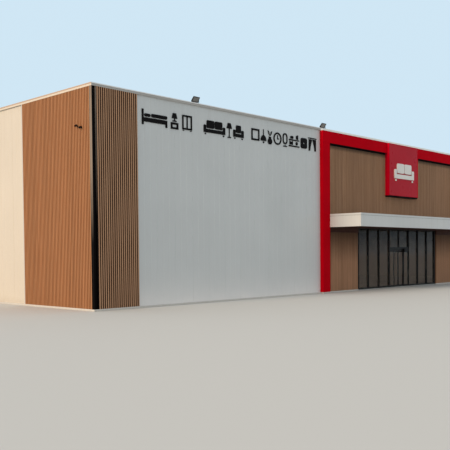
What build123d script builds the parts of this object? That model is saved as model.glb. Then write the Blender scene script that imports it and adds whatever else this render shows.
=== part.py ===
from build123d import *
import os

# Furniture store: a flat-roofed hall with slatted corners and a framed, canopied entrance.
# Millimetres. The origin is the middle of the footprint at ground level, +X runs to the
# right along the front, +Y from the front to the back, and +Z up.

# Hall
WIDTH = 39000
DEPTH = 27000
HEIGHT = 8600
WALL_THICKNESS = 200
FLOOR_THICKNESS = 50

# Flat wall panels and the narrow joints between them
PANEL_WIDTH = 1000
JOINT_WIDTH = 8
JOINT_DEPTH = 6

# Roof deck behind the parapet
PARAPET_RISE = 700
ROOF_THICKNESS = 220

# Coping that caps the parapet, in lengths with a narrow joint between them
COPING_THICKNESS = 40
COPING_FACE = 120
COPING_REACH = 75
COPING_INNER_LIP = 30
COPING_CAP_HEIGHT = 38
COPING_CAP_STEP = 12
COPING_FALL = 15
COPING_LENGTH = 3000
COPING_JOINT = 6
COPING_JOINT_DEPTH = 4

# Plinth at the foot of the walls
PLINTH_HEIGHT = 75
PLINTH_REACH = 65

# Slatted cladding, a comb-shaped section
SLAT_PITCH = 100
SLAT_FACE = 48
SLAT_DEPTH = 45
SLAT_BACKING = 15
SLAT_MARGIN = 8
FRONT_SCREEN_END = 2160
SIDE_SCREEN_END = 4870
END_TRIM_WIDTH = 45

# Black profile that wraps each front corner, with a channel in its front
CORNER_POST_WIDTH = 150
CORNER_POST_RETURN = 80
CORNER_POST_LIP = 30
CORNER_POST_FLANGE = 40
CORNER_POST_RECESS = 45

# Portal round the entrance
PORTAL_CENTRE = 22300
PORTAL_CLEAR_WIDTH = 14720
PORTAL_LEG_WIDTH = 610
PORTAL_REACH = 200
PORTAL_HEADER_HEIGHT = 605
PORTAL_SHADOW_GAP = 90
LEG_SHOE_INSET = 15
LEG_JOINT_HEIGHT = 10
LEG_JOINT_DEPTH = 6
FLASHING_THICKNESS = 15
FLASHING_DRIP = 8

# Sign box on the entrance screen
SIGN_WIDTH = 3360
SIGN_HEIGHT = 3040
SIGN_DEPTH = 270
SIGN_TOP_GAP = 25
SIGN_SIDE_GAP = 30
SIGN_RIM = 40
SIGN_FACE_RECESS = 12
SIGN_FACE_THICKNESS = 25
SIGN_BASE_HEIGHT = 50
SIGN_BASE_INSET = 40

# Canopy over the entrance
CANOPY_REACH = 2100
CANOPY_FOOT = 3465
CANOPY_HEIGHT = 685
CANOPY_FASCIA = 40
CANOPY_GROOVE_DROP = 85
CANOPY_GROOVE_HEIGHT = 28
CANOPY_GROOVE_DEPTH = 14
CANOPY_LIP_HEIGHT = 35
CANOPY_FACE_STEP = 6
CANOPY_SHEET = 30
CANOPY_ROOF_DROP = 60
CANOPY_SOFFIT_RISE = 15
SOFFIT_APRON_HEIGHT = 250
SOFFIT_APRON_REACH = 80

# Glazed entrance front
GLAZING_BAYS = 8
GLAZING_BAY = 1125
DOOR_BAYS = 2
BAR_WIDTH = 60
OUTER_STILE_WIDTH = 150
SILL_HEIGHT = 90
FRAME_DEPTH = 120
BAR_CAP_WIDTH = 50
BAR_CAP_REACH = 18
GLASS_THICKNESS = 24
OVERLIGHT_BORDER = 40

# Automatic sliding doors
DOOR_HEAD = 2200
OPERATOR_HEIGHT = 180
OPERATOR_DEPTH = 160
SIDELIGHT_WIDTH = 560
SIDELIGHT_SET_BACK = 10
LEAF_THICKNESS = 40
LEAF_STILE = 45
LEAF_TOP_RAIL = 60
LEAF_FOOT_RAIL = 100
LEAF_GLASS = 20
LEAF_CLEARANCE = 10
LEAF_SIDE_GAP = 15
MEETING_GAP = 6
TRACK_SLOT = 24
TRACK_WIDTH = 60
TRACK_HEIGHT = 70
TRACK_LIP = 15
HANGER_THICKNESS = 12
HANGER_LENGTH = 70
HANGER_SPREAD = 180
ROLLER_RADIUS = 22
ROLLER_WIDTH = 40
RUNNING_GAP = 0.3
SENSOR_OFFSET = 650
SENSOR_WIDTH = 420
SENSOR_HEIGHT = 200
SENSOR_DEPTH = 110
SENSOR_DROP = 80
SENSOR_CHAMFER = 35

# Floodlights on the coping, each a finned housing in a stirrup
FLOOD_OFFSETS = (5345, 14535, 30065)
FLOOD_WIDTH = 370
FLOOD_LENGTH = 260
FLOOD_DEPTH = 50
FLOOD_EDGE_DEPTH = 28
FLOOD_CORNER = 22
FLOOD_BORDER = 24
FLOOD_LENS_RECESS = 6
FLOOD_FINS = 7
FLOOD_FIN_HEIGHT = 22
FLOOD_FIN_THICKNESS = 6
FLOOD_TILT = -54
FLOOD_OUTREACH = 75
FLOOD_RISE = 125
STIRRUP_WIDTH = 36
STIRRUP_THICKNESS = 6
STIRRUP_SET_BACK = 18
PIVOT_RISE = 8
PIVOT_RADIUS = 13
PIVOT_LENGTH = 10

# Wall cameras on the left side screen: distance from the front corner, height, turn
CAMERA_PLACES = ((865, 7075, 40), (585, 6980, 10))
CAMERA_RADIUS = 38
CAMERA_LENGTH = 90
CAMERA_HOOD = 8
CAMERA_HOOD_LENGTH = 108
CAMERA_REACH = 80
CAMERA_PLATE_WIDTH = 60
CAMERA_PLATE_HEIGHT = 70
CAMERA_PLATE = 10
CAMERA_ARM = 26
CAMERA_TILT = 22

# Planes and levels that the pieces share
LEFT = -WIDTH / 2
RIGHT = WIDTH / 2
FRONT = -DEPTH / 2
BACK = DEPTH / 2
WALL_TOP = HEIGHT - COPING_THICKNESS
COPING_UNDERSIDE = HEIGHT - COPING_FACE
SCREEN_REACH = SLAT_BACKING + SLAT_DEPTH
CANOPY_TOP = CANOPY_FOOT + CANOPY_HEIGHT
SOFFIT_APRON_FOOT = CANOPY_FOOT - SOFFIT_APRON_HEIGHT
GLAZING_HEAD = CANOPY_FOOT + CANOPY_SOFFIT_RISE
GLAZING_HALF = GLAZING_BAYS * GLAZING_BAY / 2
DOOR_HALF = DOOR_BAYS * GLAZING_BAY / 2 - BAR_WIDTH / 2
ENTRANCE = LEFT + PORTAL_CENTRE
PORTAL_INNER = PORTAL_CLEAR_WIDTH / 2
PORTAL_OUTER = PORTAL_INNER + PORTAL_LEG_WIDTH
PORTAL_TOP = COPING_UNDERSIDE - FLASHING_THICKNESS
PORTAL_HEADER_FOOT = PORTAL_TOP - PORTAL_HEADER_HEIGHT
UPPER_SCREEN_TOP = PORTAL_HEADER_FOOT - PORTAL_SHADOW_GAP
SIGN_BACK = FRONT - SCREEN_REACH
SIGN_TOP = PORTAL_TOP - SIGN_TOP_GAP
OPERATOR_TOP = DOOR_HEAD + OPERATOR_HEIGHT
SIDELIGHT_FRONT = FRONT + SIDELIGHT_SET_BACK
LEAF_FRONT = SIDELIGHT_FRONT + LEAF_THICKNESS + LEAF_SIDE_GAP
LEAF_MIDDLE = LEAF_FRONT + LEAF_THICKNESS / 2
LEAF_WIDTH = DOOR_HALF - SIDELIGHT_WIDTH + LEAF_STILE - MEETING_GAP / 2


def block(x0, x1, y0, y1, z0, z1):
    """A box between two corners."""
    size = Box(x1 - x0, y1 - y0, z1 - z0)
    return Pos((x0 + x1) / 2, (y0 + y1) / 2, (z0 + z1) / 2) * size


def upright(points, foot, top):
    """A plan outline carried up from foot to top."""
    outline = make_face(Polyline(*points, close=True))
    return Pos(0, 0, foot) * extrude(outline, top - foot)


def along_front(points, x0, x1):
    """A section drawn as (y, z) points, carried along the front from x0 to x1."""
    section = make_face(Plane.YZ * Polyline(*points, close=True))
    return Pos(x0, 0, 0) * extrude(section, x1 - x0, dir=(1, 0, 0))


def mirrored(piece):
    """The piece's mirror image on the other side of x = 0."""
    return mirror(piece, Plane.YZ)


def both_sides(piece):
    """A piece drawn about the entrance's middle line, with its mirror image there."""
    return [Pos(ENTRANCE, 0, 0) * piece, Pos(ENTRANCE, 0, 0) * mirrored(piece)]


def facing_left(piece):
    """Turn a piece made along a front so that its face looks to the left side."""
    return Rot(0, 0, -90) * piece


def panel_wall(length, bare_start, bare_end):
    """A wall from x = 0, face at y = 0, with panel joints over its bare stretch."""
    joints = int((bare_end - bare_start) // PANEL_WIDTH)
    points = [(0, WALL_THICKNESS), (0, 0)]
    for joint in range(1, joints + 1):
        middle = bare_start + joint * PANEL_WIDTH
        if middle + JOINT_WIDTH < bare_end:
            points.append((middle - JOINT_WIDTH / 2, 0))
            points.append((middle - JOINT_WIDTH / 2, JOINT_DEPTH))
            points.append((middle + JOINT_WIDTH / 2, JOINT_DEPTH))
            points.append((middle + JOINT_WIDTH / 2, 0))
    points += [(length, 0), (length, WALL_THICKNESS)]
    return upright(points, 0, WALL_TOP)


def slatted_screen(length, foot, top):
    """Slats on a backing sheet, cut as one comb section, back at y = 0."""
    count = int((length - 2 * SLAT_MARGIN - SLAT_FACE) // SLAT_PITCH) + 1
    edge = (length - (count - 1) * SLAT_PITCH - SLAT_FACE) / 2
    points = [(0, 0), (0, -SLAT_BACKING)]
    for slat in range(count):
        start = edge + slat * SLAT_PITCH
        points.append((start, -SLAT_BACKING))
        points.append((start, -SCREEN_REACH))
        points.append((start + SLAT_FACE, -SCREEN_REACH))
        points.append((start + SLAT_FACE, -SLAT_BACKING))
    points += [(length, -SLAT_BACKING), (length, 0)]
    return upright(points, foot, top)


def front_wall_left():
    length = PORTAL_CENTRE - GLAZING_HALF
    wall = panel_wall(length, FRONT_SCREEN_END, PORTAL_CENTRE - PORTAL_OUTER)
    return Pos(LEFT, FRONT, 0) * wall


def front_wall_right():
    start = PORTAL_CENTRE + GLAZING_HALF
    length = WIDTH - start
    bare_start = PORTAL_CENTRE + PORTAL_OUTER - start
    wall = panel_wall(length, bare_start, length - FRONT_SCREEN_END)
    return Pos(LEFT + start, FRONT, 0) * wall


def front_wall_head():
    x0 = ENTRANCE - GLAZING_HALF
    x1 = ENTRANCE + GLAZING_HALF
    return block(x0, x1, FRONT, FRONT + WALL_THICKNESS, GLAZING_HEAD, WALL_TOP)


def left_side_wall():
    length = DEPTH - 2 * WALL_THICKNESS
    wall = panel_wall(length, 0, length - SIDE_SCREEN_END + WALL_THICKNESS)
    return Pos(LEFT, BACK - WALL_THICKNESS, 0) * facing_left(wall)


def right_side_wall():
    return mirrored(left_side_wall())


def back_wall():
    wall = panel_wall(WIDTH, 0, WIDTH)
    return Pos(RIGHT, BACK, 0) * (Rot(0, 0, 180) * wall)


def floor_slab():
    x = RIGHT - WALL_THICKNESS
    y = BACK - WALL_THICKNESS
    return block(-x, x, -y, y, 0, FLOOR_THICKNESS)


def entrance_threshold():
    x0 = ENTRANCE - GLAZING_HALF
    x1 = ENTRANCE + GLAZING_HALF
    return block(x0, x1, FRONT, FRONT + WALL_THICKNESS, 0, FLOOR_THICKNESS)


def roof_deck():
    x = RIGHT - WALL_THICKNESS
    y = BACK - WALL_THICKNESS
    top = HEIGHT - PARAPET_RISE
    return block(-x, x, -y, y, top - ROOF_THICKNESS, top)


def coping_joint(x):
    """The narrow gap between two lengths of coping, over its face and its top."""
    x0 = x - COPING_JOINT / 2
    x1 = x + COPING_JOINT / 2
    inner = WALL_THICKNESS + COPING_INNER_LIP
    face_depth = COPING_CAP_STEP + COPING_JOINT_DEPTH
    floor = HEIGHT - COPING_FALL - COPING_JOINT_DEPTH
    face = block(x0, x1, -COPING_REACH, face_depth - COPING_REACH, COPING_UNDERSIDE, HEIGHT)
    return face + block(x0, x1, -COPING_REACH, inner, floor, HEIGHT)


def coping_section(wall_length):
    """The coping along a front wall of the given length, mitred at both ends."""
    inner = WALL_THICKNESS
    half = wall_length / 2
    points = [
        (COPING_CAP_STEP - COPING_REACH, COPING_UNDERSIDE),
        (0, COPING_UNDERSIDE),
        (0, WALL_TOP),
        (inner, WALL_TOP),
        (inner, COPING_UNDERSIDE),
        (inner + COPING_INNER_LIP, COPING_UNDERSIDE),
        (inner + COPING_INNER_LIP, HEIGHT - COPING_FALL),
        (0, HEIGHT),
        (-COPING_REACH, HEIGHT),
        (-COPING_REACH, HEIGHT - COPING_CAP_HEIGHT),
        (COPING_CAP_STEP - COPING_REACH, HEIGHT - COPING_CAP_HEIGHT),
    ]
    bar = along_front(points, -half - COPING_REACH, half + COPING_REACH)
    joints = round(wall_length / COPING_LENGTH)
    for joint in range(1, joints):
        bar -= coping_joint(-half + joint * wall_length / joints)
    depth = inner + COPING_INNER_LIP
    mitre = upright(
        [
            (-half - COPING_REACH, -COPING_REACH),
            (half + COPING_REACH, -COPING_REACH),
            (half - depth, depth),
            (-half + depth, depth),
        ],
        COPING_UNDERSIDE,
        HEIGHT,
    )
    return bar & mitre


def coping_front():
    return Pos(0, FRONT, 0) * coping_section(WIDTH)


def coping_back():
    return Pos(0, BACK, 0) * (Rot(0, 0, 180) * coping_section(WIDTH))


def coping_left():
    return Pos(LEFT, 0, 0) * facing_left(coping_section(DEPTH))


def coping_right():
    return mirrored(coping_left())


def leg_shoe():
    """The plinth under the left portal leg, set back from the leg's faces."""
    inset = LEG_SHOE_INSET
    return block(inset - PORTAL_OUTER, -PORTAL_INNER - inset, FRONT - PORTAL_REACH + inset,
                 FRONT, 0, PLINTH_HEIGHT)


def plinths():
    """Low strips along the feet of the walls, with shoes under the portal legs."""
    leg_outer = PORTAL_OUTER
    leg_inner = PORTAL_INNER
    outer = FRONT - PLINTH_REACH
    side = RIGHT + PLINTH_REACH
    strips = both_sides(leg_shoe()) + [
        block(-side, ENTRANCE - leg_outer, outer, FRONT, 0, PLINTH_HEIGHT),
        block(ENTRANCE - leg_inner, ENTRANCE - GLAZING_HALF, outer, FRONT, 0, PLINTH_HEIGHT),
        block(ENTRANCE + GLAZING_HALF, ENTRANCE + leg_inner, outer, FRONT, 0, PLINTH_HEIGHT),
        block(ENTRANCE + leg_outer, side, outer, FRONT, 0, PLINTH_HEIGHT),
        block(-side, side, BACK, BACK + PLINTH_REACH, 0, PLINTH_HEIGHT),
        block(-side, LEFT, FRONT, BACK, 0, PLINTH_HEIGHT),
        block(RIGHT, side, FRONT, BACK, 0, PLINTH_HEIGHT),
    ]
    return strips


def screen_front_left():
    length = FRONT_SCREEN_END - CORNER_POST_WIDTH
    screen = slatted_screen(length, PLINTH_HEIGHT, COPING_UNDERSIDE)
    return Pos(LEFT + CORNER_POST_WIDTH, FRONT, 0) * screen


def screen_front_right():
    return mirrored(screen_front_left())


def screen_side_left():
    length = SIDE_SCREEN_END - CORNER_POST_RETURN
    screen = slatted_screen(length, PLINTH_HEIGHT, COPING_UNDERSIDE)
    return Pos(LEFT, FRONT + SIDE_SCREEN_END, 0) * facing_left(screen)


def screen_side_right():
    return mirrored(screen_side_left())


def entrance_screens():
    """The screens beside the glazing, under the canopy."""
    length = PORTAL_INNER - GLAZING_HALF
    screen = slatted_screen(length, PLINTH_HEIGHT, SOFFIT_APRON_FOOT)
    left = Pos(ENTRANCE - PORTAL_INNER, FRONT, 0) * screen
    right = Pos(ENTRANCE + GLAZING_HALF, FRONT, 0) * screen
    return [left, right]


def entrance_screen_upper():
    screen = slatted_screen(PORTAL_CLEAR_WIDTH, CANOPY_TOP, UPPER_SCREEN_TOP)
    return Pos(ENTRANCE - PORTAL_INNER, FRONT, 0) * screen


def corner_posts():
    """Folded profiles round the front corners, each with a channel open to the front."""
    reach = SCREEN_REACH
    web = CORNER_POST_RECESS - reach
    lip_end = CORNER_POST_LIP - reach
    flange_start = CORNER_POST_WIDTH - CORNER_POST_FLANGE
    points = [
        (0, 0),
        (0, CORNER_POST_RETURN),
        (-reach, CORNER_POST_RETURN),
        (-reach, -reach),
        (lip_end, -reach),
        (lip_end, web),
        (flange_start, web),
        (flange_start, -reach),
        (CORNER_POST_WIDTH, -reach),
        (CORNER_POST_WIDTH, 0),
    ]
    post = upright(points, PLINTH_HEIGHT, COPING_UNDERSIDE)
    left = Pos(LEFT, FRONT, 0) * post
    return [left, mirrored(left)]


def screen_end_trims():
    """Upright trims where the side screens end at the bare panels."""
    y0 = FRONT + SIDE_SCREEN_END
    left = block(LEFT - SCREEN_REACH, LEFT, y0, y0 + END_TRIM_WIDTH, PLINTH_HEIGHT, COPING_UNDERSIDE)
    return [left, mirrored(left)]


def portal_legs():
    """The legs, with a narrow joint round each at the level of the headers' foot."""
    front = FRONT - PORTAL_REACH
    depth = LEG_JOINT_DEPTH
    joint_top = PORTAL_HEADER_FOOT + LEG_JOINT_HEIGHT
    leg = block(-PORTAL_OUTER, -PORTAL_INNER, front, FRONT, PLINTH_HEIGHT, PORTAL_TOP)
    joint = block(-PORTAL_OUTER, -PORTAL_INNER, front, FRONT, PORTAL_HEADER_FOOT, joint_top)
    joint -= block(depth - PORTAL_OUTER, -PORTAL_INNER, front + depth, FRONT,
                   PORTAL_HEADER_FOOT, joint_top)
    return both_sides(leg - joint)


def portal_headers():
    """The two header boxes, with a lip below and behind that closes off the slats."""
    stop = SIGN_WIDTH / 2 + SIGN_SIDE_GAP
    points = [
        (FRONT, UPPER_SCREEN_TOP),
        (FRONT - SCREEN_REACH, UPPER_SCREEN_TOP),
        (FRONT - SCREEN_REACH, PORTAL_HEADER_FOOT),
        (FRONT - PORTAL_REACH, PORTAL_HEADER_FOOT),
        (FRONT - PORTAL_REACH, PORTAL_TOP),
        (FRONT, PORTAL_TOP),
    ]
    return both_sides(along_front(points, -PORTAL_INNER, -stop))


def portal_flashing():
    """A thin sheet over the legs and headers, tucked under the coping."""
    reach = PORTAL_OUTER + FLASHING_DRIP
    y0 = FRONT - PORTAL_REACH - FLASHING_DRIP
    return block(ENTRANCE - reach, ENTRANCE + reach, y0, FRONT, PORTAL_TOP, COPING_UNDERSIDE)


def sign_recess():
    """The shallow tray in the front of the sign box, down to the back of its face."""
    half = SIGN_WIDTH / 2 - SIGN_RIM
    top = SIGN_TOP - SIGN_RIM
    foot = SIGN_TOP - SIGN_HEIGHT + SIGN_RIM
    front = SIGN_BACK - SIGN_DEPTH
    return block(ENTRANCE - half, ENTRANCE + half, front,
                 front + SIGN_FACE_RECESS + SIGN_FACE_THICKNESS, foot, top)


def sign_box():
    """The case on its carrier between the headers, with a recessed base below."""
    half = SIGN_WIDTH / 2
    front = SIGN_BACK - SIGN_DEPTH
    foot = SIGN_TOP - SIGN_HEIGHT
    inset = SIGN_BASE_INSET
    stop = half + SIGN_SIDE_GAP
    case = block(ENTRANCE - half, ENTRANCE + half, front, SIGN_BACK, foot, SIGN_TOP)
    base = block(ENTRANCE - half + inset, ENTRANCE + half - inset, front + inset, SIGN_BACK,
                 foot - SIGN_BASE_HEIGHT, foot)
    carrier = block(ENTRANCE - stop, ENTRANCE + stop, SIGN_BACK, FRONT,
                    UPPER_SCREEN_TOP, PORTAL_TOP)
    return case + base + carrier - sign_recess()


def sign_face():
    tray = sign_recess()
    front = SIGN_BACK - SIGN_DEPTH + SIGN_FACE_RECESS
    return split(tray, Plane.XZ.offset(-front), keep=Keep.BOTTOM)


def canopy_fascia_section():
    """The fascia's outline as (depth from its outer face, height) points."""
    groove_top = CANOPY_TOP - CANOPY_GROOVE_DROP
    groove_foot = groove_top - CANOPY_GROOVE_HEIGHT
    lip_top = CANOPY_FOOT + CANOPY_LIP_HEIGHT
    return [
        (0, CANOPY_FOOT),
        (CANOPY_FASCIA, CANOPY_FOOT),
        (CANOPY_FASCIA, CANOPY_TOP),
        (0, CANOPY_TOP),
        (0, groove_top),
        (CANOPY_GROOVE_DEPTH, groove_top),
        (CANOPY_GROOVE_DEPTH, groove_foot),
        (CANOPY_FACE_STEP, groove_foot),
        (CANOPY_FACE_STEP, lip_top),
        (0, lip_top),
    ]


def canopy_front_fascia():
    """Fascia with a groove below its top edge and a lip at its foot."""
    y0 = FRONT - CANOPY_REACH
    points = [(y0 + depth, height) for depth, height in canopy_fascia_section()]
    return along_front(points, ENTRANCE - PORTAL_INNER, ENTRANCE + PORTAL_INNER)


def canopy_end_fascias():
    """The same section along both ends, from the wall to the front fascia."""
    length = CANOPY_REACH - CANOPY_FASCIA
    plate = facing_left(along_front(canopy_fascia_section(), 0, length))
    return both_sides(Pos(-PORTAL_INNER, FRONT, 0) * plate)


def canopy_sheet(foot):
    """A level sheet between the fascias and the wall."""
    half = PORTAL_INNER - CANOPY_FASCIA
    y0 = FRONT - CANOPY_REACH + CANOPY_FASCIA
    return block(ENTRANCE - half, ENTRANCE + half, y0, FRONT, foot, foot + CANOPY_SHEET)


def canopy_roof():
    return canopy_sheet(CANOPY_TOP - CANOPY_ROOF_DROP - CANOPY_SHEET)


def canopy_soffit():
    """The sheet under the canopy, turned down over the screens beside the glazing."""
    soffit = canopy_sheet(GLAZING_HEAD)
    y0 = FRONT - SOFFIT_APRON_REACH
    apron = block(-PORTAL_INNER, -GLAZING_HALF, y0, FRONT, SOFFIT_APRON_FOOT, CANOPY_FOOT)
    apron += block(CANOPY_FASCIA - PORTAL_INNER, -GLAZING_HALF, y0, FRONT,
                   CANOPY_FOOT, GLAZING_HEAD)
    for side in both_sides(apron):
        soffit += side
    return soffit


def bay_lines(first, last):
    """Middle lines of the glazing bars from one bay edge to another, from the entrance."""
    lines = [-GLAZING_HALF + bay * GLAZING_BAY for bay in range(first, last + 1)]
    if first == 0:
        lines[0] += OUTER_STILE_WIDTH - BAR_WIDTH / 2
    if last == GLAZING_BAYS:
        lines[-1] -= OUTER_STILE_WIDTH - BAR_WIDTH / 2
    return lines


def lights_between(lines, foot, top, y0, y1):
    """Blocks that fill the clear lights between successive bars."""
    half = BAR_WIDTH / 2
    pairs = zip(lines[:-1], lines[1:])
    return [
        Pos(ENTRANCE, 0, 0) * block(left + half, right - half, y0, y1, foot, top)
        for left, right in pairs
    ]


def fixed_frame(first, last):
    """Mullions, sill and head of the fixed glazing, with a wide stile at its outer end."""
    lines = bay_lines(first, last)
    start = -GLAZING_HALF if first == 0 else lines[0] - BAR_WIDTH / 2
    stop = GLAZING_HALF if last == GLAZING_BAYS else lines[-1] + BAR_WIDTH / 2
    x0 = ENTRANCE + start
    x1 = ENTRANCE + stop
    frame = block(x0, x1, FRONT, FRONT + FRAME_DEPTH, FLOOR_THICKNESS, GLAZING_HEAD)
    foot = FLOOR_THICKNESS + SILL_HEIGHT
    top = GLAZING_HEAD - BAR_WIDTH
    for light in lights_between(lines, foot, top, FRONT, FRONT + FRAME_DEPTH):
        frame -= light
    for line in lines:
        middle = ENTRANCE + line
        frame += block(middle - BAR_CAP_WIDTH / 2, middle + BAR_CAP_WIDTH / 2,
                       FRONT - BAR_CAP_REACH, FRONT, FLOOR_THICKNESS, GLAZING_HEAD)
    return frame


def fixed_panes(first, last):
    lines = bay_lines(first, last)
    y0 = FRONT + (FRAME_DEPTH - GLASS_THICKNESS) / 2
    foot = FLOOR_THICKNESS + SILL_HEIGHT
    return lights_between(lines, foot, GLAZING_HEAD - BAR_WIDTH, y0, y0 + GLASS_THICKNESS)


FIRST_DOOR_BAY = (GLAZING_BAYS - DOOR_BAYS) // 2


def glazing_frame_left():
    return fixed_frame(0, FIRST_DOOR_BAY)


def glazing_frame_right():
    return fixed_frame(FIRST_DOOR_BAY + DOOR_BAYS, GLAZING_BAYS)


def overlight_openings(y0, y1):
    """The two clear lights over the doors."""
    foot = OPERATOR_TOP + OVERLIGHT_BORDER
    top = GLAZING_HEAD - BAR_WIDTH
    right = block(BAR_WIDTH / 2, DOOR_HALF - OVERLIGHT_BORDER, y0, y1, foot, top)
    return [Pos(ENTRANCE, 0, 0) * mirrored(right), Pos(ENTRANCE, 0, 0) * right]


def overlight_frame():
    frame = block(ENTRANCE - DOOR_HALF, ENTRANCE + DOOR_HALF, FRONT, FRONT + FRAME_DEPTH,
                  OPERATOR_TOP, GLAZING_HEAD)
    for light in overlight_openings(FRONT, FRONT + FRAME_DEPTH):
        frame -= light
    return frame


def framed_light(x0, x1, y0, foot, top):
    """A narrow door frame and the light inside it."""
    y1 = y0 + LEAF_THICKNESS
    light = block(x0 + LEAF_STILE, x1 - LEAF_STILE, y0, y1,
                  foot + LEAF_FOOT_RAIL, top - LEAF_TOP_RAIL)
    return block(x0, x1, y0, y1, foot, top) - light


def framed_pane(x0, x1, y0, foot, top):
    middle = y0 + LEAF_THICKNESS / 2
    return block(x0 + LEAF_STILE, x1 - LEAF_STILE, middle - LEAF_GLASS / 2,
                 middle + LEAF_GLASS / 2, foot + LEAF_FOOT_RAIL, top - LEAF_TOP_RAIL)


def sidelight_span():
    return -DOOR_HALF, -DOOR_HALF + SIDELIGHT_WIDTH, SIDELIGHT_FRONT, FLOOR_THICKNESS, DOOR_HEAD


def sidelight_frames():
    return both_sides(framed_light(*sidelight_span()))


def glazing_panes():
    """Every fixed pane of the entrance front, beside and above the doors."""
    y0 = FRONT + (FRAME_DEPTH - GLASS_THICKNESS) / 2
    panes = fixed_panes(0, FIRST_DOOR_BAY)
    panes += fixed_panes(FIRST_DOOR_BAY + DOOR_BAYS, GLAZING_BAYS)
    panes += overlight_openings(y0, y0 + GLASS_THICKNESS)
    panes += both_sides(framed_pane(*sidelight_span()))
    return panes


def door_operator():
    """Header with the track that the leaves hang from, open below along a slot."""
    lip_top = DOOR_HEAD + TRACK_LIP
    points = [
        (FRONT, DOOR_HEAD),
        (LEAF_MIDDLE - TRACK_SLOT / 2, DOOR_HEAD),
        (LEAF_MIDDLE - TRACK_SLOT / 2, lip_top),
        (LEAF_MIDDLE - TRACK_WIDTH / 2, lip_top),
        (LEAF_MIDDLE - TRACK_WIDTH / 2, lip_top + TRACK_HEIGHT),
        (LEAF_MIDDLE + TRACK_WIDTH / 2, lip_top + TRACK_HEIGHT),
        (LEAF_MIDDLE + TRACK_WIDTH / 2, lip_top),
        (LEAF_MIDDLE + TRACK_SLOT / 2, lip_top),
        (LEAF_MIDDLE + TRACK_SLOT / 2, DOOR_HEAD),
        (FRONT + OPERATOR_DEPTH, DOOR_HEAD),
        (FRONT + OPERATOR_DEPTH, OPERATOR_TOP),
        (FRONT, OPERATOR_TOP),
    ]
    return along_front(points, ENTRANCE - DOOR_HALF, ENTRANCE + DOOR_HALF)


def leaf_span():
    """The left leaf, closed: its ends, front, foot and top."""
    x1 = -MEETING_GAP / 2
    foot = FLOOR_THICKNESS + LEAF_CLEARANCE
    return x1 - LEAF_WIDTH, x1, LEAF_FRONT, foot, DOOR_HEAD - LEAF_CLEARANCE


def hanger(x):
    """A plate that rises through the slot and the roller that runs on the lips."""
    axle = DOOR_HEAD + TRACK_LIP + RUNNING_GAP + ROLLER_RADIUS
    plate = block(x - HANGER_LENGTH / 2, x + HANGER_LENGTH / 2,
                  LEAF_MIDDLE - HANGER_THICKNESS / 2, LEAF_MIDDLE + HANGER_THICKNESS / 2,
                  DOOR_HEAD - LEAF_CLEARANCE, axle)
    roller = Pos(x, LEAF_MIDDLE, axle) * (Rot(90, 0, 0) * Cylinder(ROLLER_RADIUS, ROLLER_WIDTH))
    return plate + roller


def left_leaf_frame():
    x0, x1, y0, foot, top = leaf_span()
    middle = (x0 + x1) / 2
    frame = framed_light(x0, x1, y0, foot, top)
    frame += hanger(middle - HANGER_SPREAD)
    frame += hanger(middle + HANGER_SPREAD)
    return frame


def door_leaf_left():
    return Pos(ENTRANCE, 0, 0) * left_leaf_frame()


def door_leaf_right():
    return Pos(ENTRANCE, 0, 0) * mirrored(left_leaf_frame())


def door_pane_left():
    return Pos(ENTRANCE, 0, 0) * framed_pane(*leaf_span())


def door_pane_right():
    return Pos(ENTRANCE, 0, 0) * mirrored(framed_pane(*leaf_span()))


def door_sensor():
    """A box on the front of the operator, its face bevelled above and below."""
    middle = ENTRANCE + SENSOR_OFFSET
    foot = DOOR_HEAD - SENSOR_DROP
    shell = block(middle - SENSOR_WIDTH / 2, middle + SENSOR_WIDTH / 2, FRONT - SENSOR_DEPTH,
                  FRONT, foot, foot + SENSOR_HEIGHT)
    edges = shell.edges().filter_by(Axis.X).group_by(Axis.Y)[0]
    return chamfer(edges, SENSOR_CHAMFER)


def flood_housing():
    """A lamp housing that shines down from z = 0: slimmer outwards, with fins on its back."""
    half = FLOOD_LENGTH / 2
    side = FLOOD_WIDTH / 2
    wedge = along_front([(-half, 0), (half, 0), (half, FLOOD_DEPTH), (-half, FLOOD_EDGE_DEPTH)],
                        -side, side)
    outline = extrude(RectangleRounded(FLOOD_WIDTH, FLOOD_LENGTH, FLOOD_CORNER), FLOOD_DEPTH)
    housing = wedge & outline
    fin_run = half - FLOOD_CORNER
    fin_span = FLOOD_WIDTH - 2 * FLOOD_CORNER - FLOOD_FIN_THICKNESS
    for fin in range(FLOOD_FINS):
        x = -fin_span / 2 + fin * fin_span / (FLOOD_FINS - 1)
        fin_points = [
            (-fin_run, FLOOD_EDGE_DEPTH / 2),
            (fin_run, FLOOD_DEPTH / 2),
            (fin_run, FLOOD_DEPTH + FLOOD_FIN_HEIGHT),
            (-fin_run, FLOOD_EDGE_DEPTH + FLOOD_FIN_HEIGHT),
        ]
        housing += along_front(fin_points, x - FLOOD_FIN_THICKNESS / 2, x + FLOOD_FIN_THICKNESS / 2)
    lens = Rectangle(FLOOD_WIDTH - 2 * FLOOD_BORDER, FLOOD_LENGTH - 2 * FLOOD_BORDER)
    return housing - extrude(lens, FLOOD_LENS_RECESS)


def flood_head():
    """The housing tilted outwards over the edge of the coping."""
    tilted = Rot(FLOOD_TILT, 0, 0) * flood_housing()
    return Pos(0, FRONT - FLOOD_OUTREACH, HEIGHT + FLOOD_RISE) * tilted


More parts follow.
